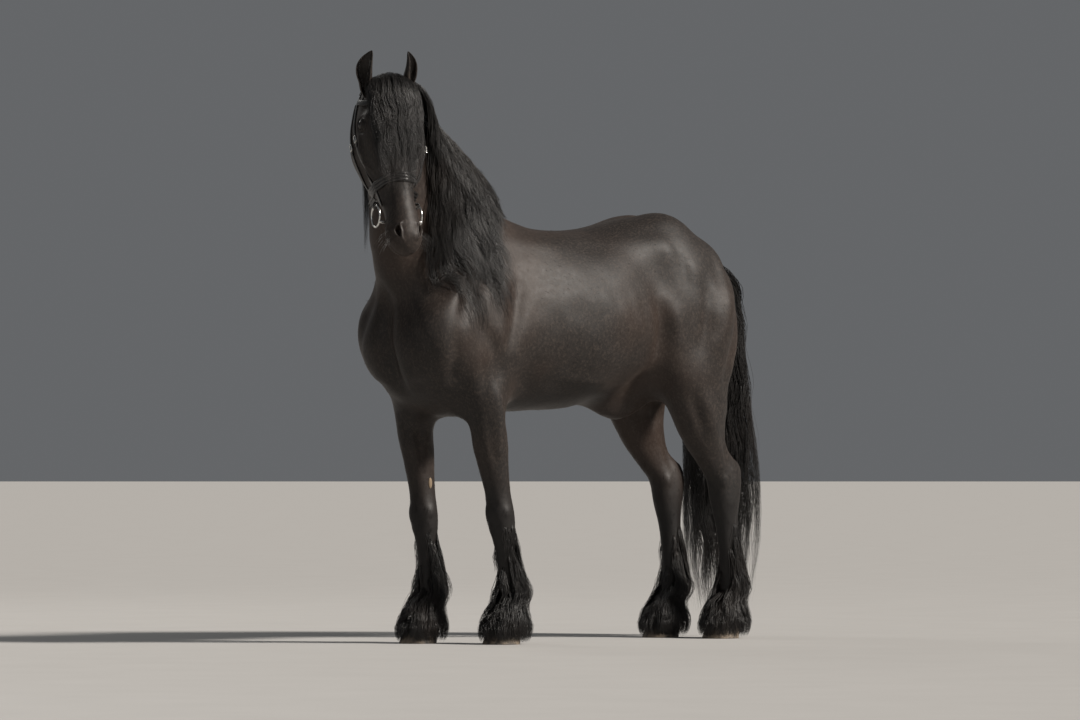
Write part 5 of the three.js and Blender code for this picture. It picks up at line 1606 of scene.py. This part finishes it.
def coat_lie(body):
    """Way the short hair lies at places of the body's frame: back and down, and down head and legs."""
    lie = np.tile([-1.0, 0.0, -0.55], (len(body), 1))
    lie[body[:, 2] < 850] = [-0.15, 0.0, -1.0]
    down, off, left = head_places(body)
    on_face = (down > 0) & (off > -320) & (np.abs(left) < 160) & (body[:, 2] > 1400)
    lie[on_face] = -0.35 * DOWN_FACE - 0.9 * OFF_FACE
    on_neck = (body[:, 0] > 560) & (body[:, 2] > 1450) & ~on_face
    lie[on_neck] = [-0.45, 0.0, -1.0]
    return unit(lie)


skin_points = read_points(skin)
a, b, c = (skin_points[skin_faces[:, k]] for k in range(3))
area = np.linalg.norm(np.cross(b - a, c - a), axis=1) / 2
middle = in_body((a + b + c) / 3)
down, off, left = head_places(middle)
facial = (down > 60) & (off > -300) & (np.abs(left) < 150) & (middle[:, 2] > 1400)
rng = np.random.default_rng(99)
chance = area * np.where(facial, 2.6, 1.0) * np.where(middle[:, 2] < 760, 1.8, 1.0)
face = rng.choice(len(area), TUFTS, p=chance / chance.sum())
u, v = rng.random((2, TUFTS))
u, v = np.where(u + v > 1, 1 - u, u), np.where(u + v > 1, 1 - v, v)
root = a[face] + u[:, None] * (b - a)[face] + v[:, None] * (c - a)[face]
normal = unit(np.cross(b - a, c - a)[face])
body = in_body(root)
lie = coat_lie(body)
lie = unit(lie - normal * (lie * normal).sum(1)[:, None] + rng.normal(0, 0.12, (TUFTS, 3)))
on_face = facial[face]
long = np.where(on_face, FACE_TUFT[0], BODY_TUFT[0]) * rng.uniform(0.6, 1.3, TUFTS)
long *= np.where((body[:, 2] < 700) & ~on_face, 1.3, 1.0)
long *= np.where((normal[:, 2] < -0.4) & ~on_face, 1.5, 1.0)
t = np.linspace(0, 1, TUFT_CUTS)[None, :, None]
rise = normal[:, None] * (0.13 * t - 0.04 * t**2) * long[:, None, None] - normal[:, None] * 0.0005
tufts = root[:, None] + lie[:, None] * t * long[:, None, None] + rise
thin = np.where(on_face, FACE_TUFT[1], BODY_TUFT[1]) * rng.uniform(0.7, 1.2, TUFTS)
outward = np.repeat(normal[:, None], TUFT_CUTS, 1)
tuft_coat = hair_object("coat_tufts", tufts, outward, thin, 0.4, FLESH, slot="coat")
own = np.repeat(normal, len(tuft_coat.data.vertices) // TUFTS, axis=0)
tuft_coat.data.normals_split_custom_set_from_vertices(own.tolist())
print("coat tufts:", len(tuft_coat.data.polygons), "triangles")

# %% [markdown]
# ## Whiskers and lashes
# Long whiskers stand out from the lips and the chin and droop at their tips. Lashes grow from the edge
# of the upper lid, whose line is the almond's formula again, longest in the middle, and point outward
# and a little down.

# %% Whiskers and lashes
WHISKERS, LASHES, SINGLE_CUTS = 70, 70, 8
WHISKER_THIN, LASH_THIN = 0.0004, 0.00035


def single_hairs(name, strands, facing, thin, flat, node):
    """Hairs that stand alone, all turned the same way."""
    ways = np.tile(facing, (len(strands), SINGLE_CUTS, 1))
    return hair_object(name, strands, ways, np.full(len(strands), thin), flat, [node])


down, off = rng.uniform(585, 668, WHISKERS), rng.uniform(-135, -20, WHISKERS)
left = rng.choice([-1, 1], WHISKERS) * 130.0
root, normal = nearest_skin(placed(in_head(down, off, left)))[:2]
t = np.linspace(0, 1, SINGLE_CUTS)[None, :, None]
long = rng.uniform(0.025, 0.06, WHISKERS)[:, None, None]
whisker = root[:, None] + (normal[:, None] * t + 0.5 * DOWN_FACE * t**2 - 0.25 * t**2 * Z_WAY) * long
whiskers = single_hairs("whiskers", whisker, OFF_FACE, WHISKER_THIN, 1.0, "head")

along = np.tile(np.linspace(-17, 17, LASHES // 2), 2)
side = np.repeat([1.0, -1.0], LASHES // 2)
across = (UPPER_LID - 0.5) * np.sqrt(1 - (along / HALF_SLIT) ** 2)
out = np.sqrt((LID_OUT - 1) ** 2 - along**2 - across**2)
a = along * math.cos(LID_TURN) + across * math.sin(LID_TURN)
b = -along * math.sin(LID_TURN) + across * math.cos(LID_TURN)
root = placed(in_head(EYE_DOWN + a, EYE_OFF + b, side * (EYE_LEFT + out)))
long = (0.016 * (1 - 0.4 * np.abs(along) / 17) * rng.uniform(0.8, 1.1, LASHES))[:, None, None]
way = side[:, None] * HEAD_LEFT + 0.15 * OFF_FACE - 0.30 * Z_WAY + (along / 60)[:, None] * DOWN_FACE
lash = root[:, None] + (unit(way)[:, None] * t + OFF_FACE * 0.5 * t**2) * long
lashes = single_hairs("lashes", lash, OFF_FACE, LASH_THIN, 1.0, "head")
hair += [whiskers, lashes]
print("whiskers and lashes:", len(whiskers.data.polygons), len(lashes.data.polygons), "triangles")

# %% [markdown]
# ## Hair in the ears
# Both rims of each cup carry hair that leans inward and up over the opening, longest near the foot.
# The roots lie just inside the rim, found with the same widths, depths and bend as the ear itself.

# %% Hair in the ears
EAR_HAIRS, EAR_HAIR_THIN, INSIDE_RIM = 260, 0.0006, 3
# Share of the height, half width, depth, bend, half the angle of the opening.
EAR_RIM = np.array([
    [-0.25, 20, 20, -0.02, 25], [0.05, 25, 24, -0.02, 35], [0.3, 31, 25, -0.08, 55],
    [0.55, 30, 22, -0.11, 70], [0.76, 23, 16, -0.07, 75],
])
for side, node in ((1, "ear_left"), (-1, "ear_right")):
    foot, up, opening, wide = ear_frame(side)
    height = rng.uniform(-0.14, 0.72, EAR_HAIRS)
    edge = rng.choice([-1, 1], EAR_HAIRS)
    half, deep, bend, gap = (np.interp(height, EAR_RIM[:, 0], EAR_RIM[:, k]) for k in (1, 2, 3, 4))
    angle = -math.pi / 2 + edge * (math.pi - np.radians(gap)) * rng.uniform(0.80, 0.95, EAR_HAIRS)
    root = (foot + up * (height * EAR_LENGTH)[:, None] - HEAD_LEFT * side * (bend * EAR_LENGTH)[:, None]
            + (np.cos(angle) * (half - INSIDE_RIM))[:, None] * wide
            + (np.sin(angle) * (deep - INSIDE_RIM))[:, None] * opening)
    inward = unit(-np.cos(angle)[:, None] * wide + 0.35 * opening + 0.5 * up)
    long = (rng.uniform(10, 26, EAR_HAIRS) * (1 - 0.7 * height))[:, None, None]
    strand = root[:, None] + (inward[:, None] * t + (up * 0.4 - inward[:, None] * 0.2) * t**2) * long
    hair.append(single_hairs(f"ear_hair_{side}", placed(strand), opening, EAR_HAIR_THIN, 0.6, node))
print("hair in an ear:", len(hair[-1].data.polygons), "triangles")

# %% [markdown]
# ## Sums of sockets
# Every colour is made from noise in the object's own coordinates, so that it can be baked. Wiring Math
# nodes by hand hides what they compute. This class wraps a number socket, so that a sum in Python
# adds the Math nodes that do the same sum in the shader.

# %% Socket maths
class Value:
    """A number socket that can be added, multiplied and compared like a number."""

    def __init__(self, tree, socket):
        self.tree, self.socket = tree, socket

    def math(self, operation, *others):
        node = self.tree.nodes.new("ShaderNodeMath")
        node.operation = operation
        for slot, value in zip(node.inputs, (self, *others)):
            if isinstance(value, Value):
                self.tree.links.new(value.socket, slot)
            else:
                slot.default_value = value
        return Value(self.tree, node.outputs[0])

    def __add__(self, other):
        return self.math("ADD", other)

    __radd__ = __add__

    def __sub__(self, other):
        return self.math("SUBTRACT", other)

    def __rsub__(self, other):
        return self.math("MULTIPLY", -1.0).math("ADD", other)

    def __mul__(self, other):
        return self.math("MULTIPLY", other)

    __rmul__ = __mul__

    def __truediv__(self, other):
        return self.math("DIVIDE", other)

    def __pow__(self, other):
        return self.math("POWER", other)

    def between(self, low, high):
        """0 below `low`, 1 above `high`, smooth in between."""
        t = ((self - low) / (high - low)).math("MAXIMUM", 0.0).math("MINIMUM", 1.0)
        return t * t * (3.0 - 2.0 * t)


print("number sockets can be added, multiplied and raised to a power")

# %% [markdown]
# A second class holds one material. Its method `node` makes any node from its type, its settings and
# the values or links of its sockets, and noise, mixes and bumps are short calls of that one.

# %% Materials from calls
class Look:
    """A material whose nodes are made one call at a time."""

    def __init__(self, name):
        self.material = bpy.data.materials.new(name)
        self.material.use_nodes = True
        self.tree = self.material.node_tree
        self.shader = self.tree.nodes["Principled BSDF"]
        self.place = self.node("ShaderNodeTexCoord").outputs["Object"]

    def node(self, kind, settings=None, sockets=None):
        """A new node: its settings first, then values or links for its sockets, by name or number."""
        node = self.tree.nodes.new(kind)
        for key, value in (settings or {}).items():
            setattr(node, key, value)
        for key, value in (sockets or {}).items():
            self.plug(node.inputs[key], value)
        return node

    def plug(self, slot, value):
        if isinstance(value, Value):
            value = value.socket
        if isinstance(value, bpy.types.NodeSocket):
            self.tree.links.new(value, slot)
        else:
            slot.default_value = value

    def noise(self, scale, detail=3.0, rough=0.5, stretch=None):
        place = self.place
        if stretch is not None:
            place = self.node("ShaderNodeMapping", None, {"Vector": place, "Scale": stretch}).outputs[0]
        sockets = {"Vector": place, "Scale": scale, "Detail": detail, "Roughness": rough}
        return Value(self.tree, self.node("ShaderNodeTexNoise", None, sockets).outputs[0])

    def axes(self):
        made = self.node("ShaderNodeSeparateXYZ", None, {"Vector": self.place})
        return [Value(self.tree, out) for out in made.outputs]

    def blend(self, share, first, second):
        """A mix of two colours, whose sockets are numbers 0, 6 and 7 of the node."""
        return self.node("ShaderNodeMix", {"data_type": "RGBA"}, {0: share, 6: first, 7: second}).outputs[2]

    def bump(self, height, strength, distance):
        sockets = {"Strength": strength, "Distance": distance, "Height": height}
        return self.node("ShaderNodeBump", None, sockets).outputs[0]

    def finish(self, **values):
        for key, value in values.items():
            self.plug(self.shader.inputs[key.replace("_", " ")], value)

    def give(self, *objects):
        for obj in objects:
            obj.data.materials.clear()
            obj.data.materials.append(self.material)


print("a look can make", [name for name in vars(Look) if not name.startswith("_")])

# %% [markdown]
# ## Coat
# A black horse isn't flat black: the coat is a very dark brown, redder where the sun has worked on it,
# blacker down the legs, and dusty at the tips of the hairs. The bump has three sizes: single hairs,
# drawn out along the body, the ruffle of the coat, and unevenness of the skin. Veins are the sharp
# crests of a folded noise, and only stand out low on the body. The gloss is broad and weak.

# %% Coat
LEG_BLACK = (0.0048, 0.0040, 0.0038, 1)
DUST = (0.052, 0.0395, 0.032, 1)

coat = Look("black coat")
x, y, z = coat.axes()
worn = coat.noise(1.7, 4.0).between(0.38, 0.64)
fine = coat.noise(800.0, 1.0, 0.6, (0.5, 1.0, 0.35))
grain = coat.noise(150.0, 2.0, 0.6, (0.6, 1.0, 0.45))
broad = coat.noise(45.0, 4.0, 0.55)
lined = 1.0 - (coat.noise(9.0, 2.0, 0.5) * 2.0 - 1.0).math("ABSOLUTE")
veins = (lined ** 14.0) * coat.noise(1.3, 1.0).between(0.45, 0.6) * (1.0 - z.between(0.95, 1.1))
tips = fine.between(0.40, 0.70) * 0.35 + grain.between(0.45, 0.70) * 0.35
tone = coat.blend(worn, (0.0056, 0.0043, 0.0038, 1), (0.0215, 0.0120, 0.0080, 1))
tone = coat.blend(tips, tone, DUST)
tone = coat.blend(z.between(0.80, 0.44) * 0.92, tone, LEG_BLACK)
coat.finish(
    Base_Color=tone, Roughness=0.46 + 0.12 * broad + 0.10 * grain, Sheen_Weight=0.04, Sheen_Roughness=0.35,
    Sheen_Tint=(0.85, 0.68, 0.58, 1), Specular_IOR_Level=0.30,
    Normal=coat.bump(fine * 0.22 + grain * 0.40 + broad * 0.35 + veins * 0.5, 0.6, 0.0018),
)
coat.give(skin, tuft_coat, *ears)
print("coat on", skin.name, tuft_coat.name, "and", len(ears), "ears")

# %% [markdown]
# ## Long hair
# Mane and tail are blacker than the coat and shine more. A noise drawn out along the height streaks
# them, and patches of rust show where the sun has bleached them.

# %% Long hair
locks = Look("long hair")
streak = locks.noise(160.0, 2.0, 0.5, (1.0, 1.0, 0.05))
rust = locks.noise(3.0, 3.0).between(0.48, 0.72)
tone = locks.blend(streak.between(0.35, 0.7), (0.0036, 0.0031, 0.0030, 1), (0.012, 0.0100, 0.0090, 1))
tone = locks.blend(rust * 0.4, tone, (0.022, 0.0140, 0.0095, 1))
locks.finish(Base_Color=tone, Roughness=0.36 + 0.14 * streak, Specular_IOR_Level=0.45, Sheen_Weight=0.0)
locks.give(dock, *hair)
print("hair on", len(hair) + 1, "pieces")

# %% [markdown]
# ## Eye
# A horse's pupil is an oval that lies level, in an iris of dark brown that fills most of the opening.
# Both are distances from the ball's pole, and a clear coat over them gives the wet shine.

# %% Eye
ball = Look("eye")
x, y, z = ball.axes()
radius = EYE_RADIUS * 0.001
pupil = 1.0 - (((x / (radius * 0.52)) ** 2.0) + ((y / (radius * 0.26)) ** 2.0)).between(0.85, 1.15)
apart = ((x * x) + (y * y)) ** 0.5 / radius
iris = 1.0 - apart.between(0.74, 0.82)
tone = ball.blend(ball.noise(900.0, 2.0), (0.020, 0.009, 0.004, 1), (0.060, 0.028, 0.012, 1))
tone = ball.blend(iris, (0.030, 0.018, 0.014, 1), tone)
tone = ball.blend(pupil, tone, (0.002, 0.002, 0.004, 1))
ball.finish(Base_Color=tone, Roughness=0.06, Coat_Weight=0.45, Coat_Roughness=0.02, Specular_IOR_Level=0.4)
ball.give(*eyes)
print("eyes:", [eye.name for eye in eyes])

# %% [markdown]
# ## Horn
# Hoof horn grows down in rings, so its noise is drawn out level, and the dust of the ground covers its
# lowest edge. The chestnuts are dry and pale.

# %% Horn
horn = Look("hoof horn")
x, y, z = horn.axes()
rings = horn.noise(30.0, 3.0, 0.5, (0.6, 0.6, 9.0))
dust = (1.0 - z.between(0.004, 0.050)) * horn.noise(40.0, 4.0).between(0.30, 0.6)
tone = horn.blend(rings, (0.024, 0.020, 0.018, 1), (0.060, 0.050, 0.044, 1))
tone = horn.blend(dust * 0.75, tone, (0.26, 0.205, 0.15, 1))
horn.finish(Base_Color=tone, Roughness=0.42 + 0.3 * dust, Normal=horn.bump(rings, 0.5, 0.0015))
horn.give(*hooves)

callus = Look("chestnut horn")
tone = callus.blend(callus.noise(0.3, 4.0), (0.12, 0.085, 0.055, 1), (0.26, 0.19, 0.12, 1))
callus.finish(Base_Color=tone, Roughness=0.8)
callus.give(*chestnuts)
print("horn on", len(hooves), "hooves and", len(chestnuts), "chestnuts")

# %% [markdown]
# ## Leather and steel
# The leather is black, waxed and finely pored, and duller in its creases. The steel is polished, and
# its rubbed places are a little rougher.

# %% Leather and steel
strap = Look("black leather")
grain = strap.noise(900.0, 3.0, 0.6)
crease = strap.noise(90.0, 4.0, 0.6)
strap.finish(
    Base_Color=strap.blend(crease, (0.0045, 0.0042, 0.0042, 1), (0.011, 0.0095, 0.009, 1)),
    Roughness=0.30 + 0.20 * crease, Coat_Weight=0.12, Coat_Roughness=0.2, Specular_IOR_Level=0.4,
    Normal=strap.bump(grain * 0.6 + crease * 0.4, 0.25, 0.0006),
)
strap.give(*leather_pieces)

metal = Look("steel")
scratch = metal.noise(300.0, 3.0, 0.6)
metal.finish(Base_Color=(0.62, 0.61, 0.59, 1), Metallic=1.0, Roughness=0.16 + 0.14 * scratch)
metal.give(*steel_pieces)
print("leather on", len(leather_pieces), "pieces and steel on", len(steel_pieces))

# %% [markdown]
# ## Floor and light
# The floor is pale and plain. The key light is a wide, soft sun from the picture's right, a little in
# front of the horse, so that back, rump and crest shine. A broad weak fill from the camera's side
# keeps form in the black, and a rim light from behind parts the dark outline from the floor.

# %% Floor
FAR = 400
floor = mesh_object("floor", [(-FAR, -FAR, 0), (FAR, -FAR, 0), (FAR, FAR, 0), (-FAR, FAR, 0)], [[0, 1, 2, 3]])
floor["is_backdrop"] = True
ground = Look("pale floor")
tone = ground.blend(ground.noise(3.0, 3.0), (0.38, 0.372, 0.36, 1), (0.42, 0.412, 0.40, 1))
ground.finish(Base_Color=tone, Roughness=0.75)
ground.give(floor)
print("floor:", 2 * FAR, "m wide")

# %% [markdown]
# Each light's way is named from the photo's camera: toward it, to the picture's right, and up.

# %% Lights
KEY_POWER, KEY_ANGLE, KEY_COLOUR = 5.8, math.radians(8), (1.0, 0.94, 0.87)
WORLD_COLOUR, WORLD_STRENGTH = (0.86, 0.89, 0.93, 1), 0.15

world = bpy.data.worlds.new("studio")
scene.world = world
world.use_nodes = True
background = world.node_tree.nodes["Background"].inputs
background["Color"].default_value, background["Strength"].default_value = WORLD_COLOUR, WORLD_STRENGTH

toward, right, up_way = -look, Vector((-0.755, 0.656, 0.0)), Vector((0, 0, 1))
aim = Vector((0.0, 0.0, 1.1))


def light(name, kind, power, colour, way):
    """A new light that shines against `way`."""
    made = bpy.data.objects.new(name, bpy.data.lights.new(name, kind))
    scene.collection.objects.link(made)
    made.data.energy, made.data.color = power, colour
    made.rotation_mode = "QUATERNION"
    made.rotation_quaternion = (-way).to_track_quat("-Z", "Y")
    return made


key = light("key", "SUN", KEY_POWER, KEY_COLOUR, 1.0 * right + 0.34 * toward + 0.75 * up_way)
key.data.angle = KEY_ANGLE
for name, power, colour, away, size, way in (
    ("fill", 34.0, (0.94, 0.97, 1.0), 9.0, 4.0, -0.5 * right + 1.0 * toward + 0.35 * up_way),
    ("rim", 70.0, (1.0, 0.97, 0.92), 8.0, 3.0, -0.9 * right - 0.9 * toward + 0.9 * up_way),
):
    lamp = light(name, "AREA", power, colour, way.normalized() * away)
    lamp.data.shape, lamp.data.size = "DISK", size
    lamp.location = aim + way.normalized() * away
scene.view_settings.view_transform = "Standard"

# %% [markdown]
# ## Finish
# The box of the dressed model is printed.

# %% Finish
low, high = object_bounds()
print("box:", rounded(low), rounded(high))
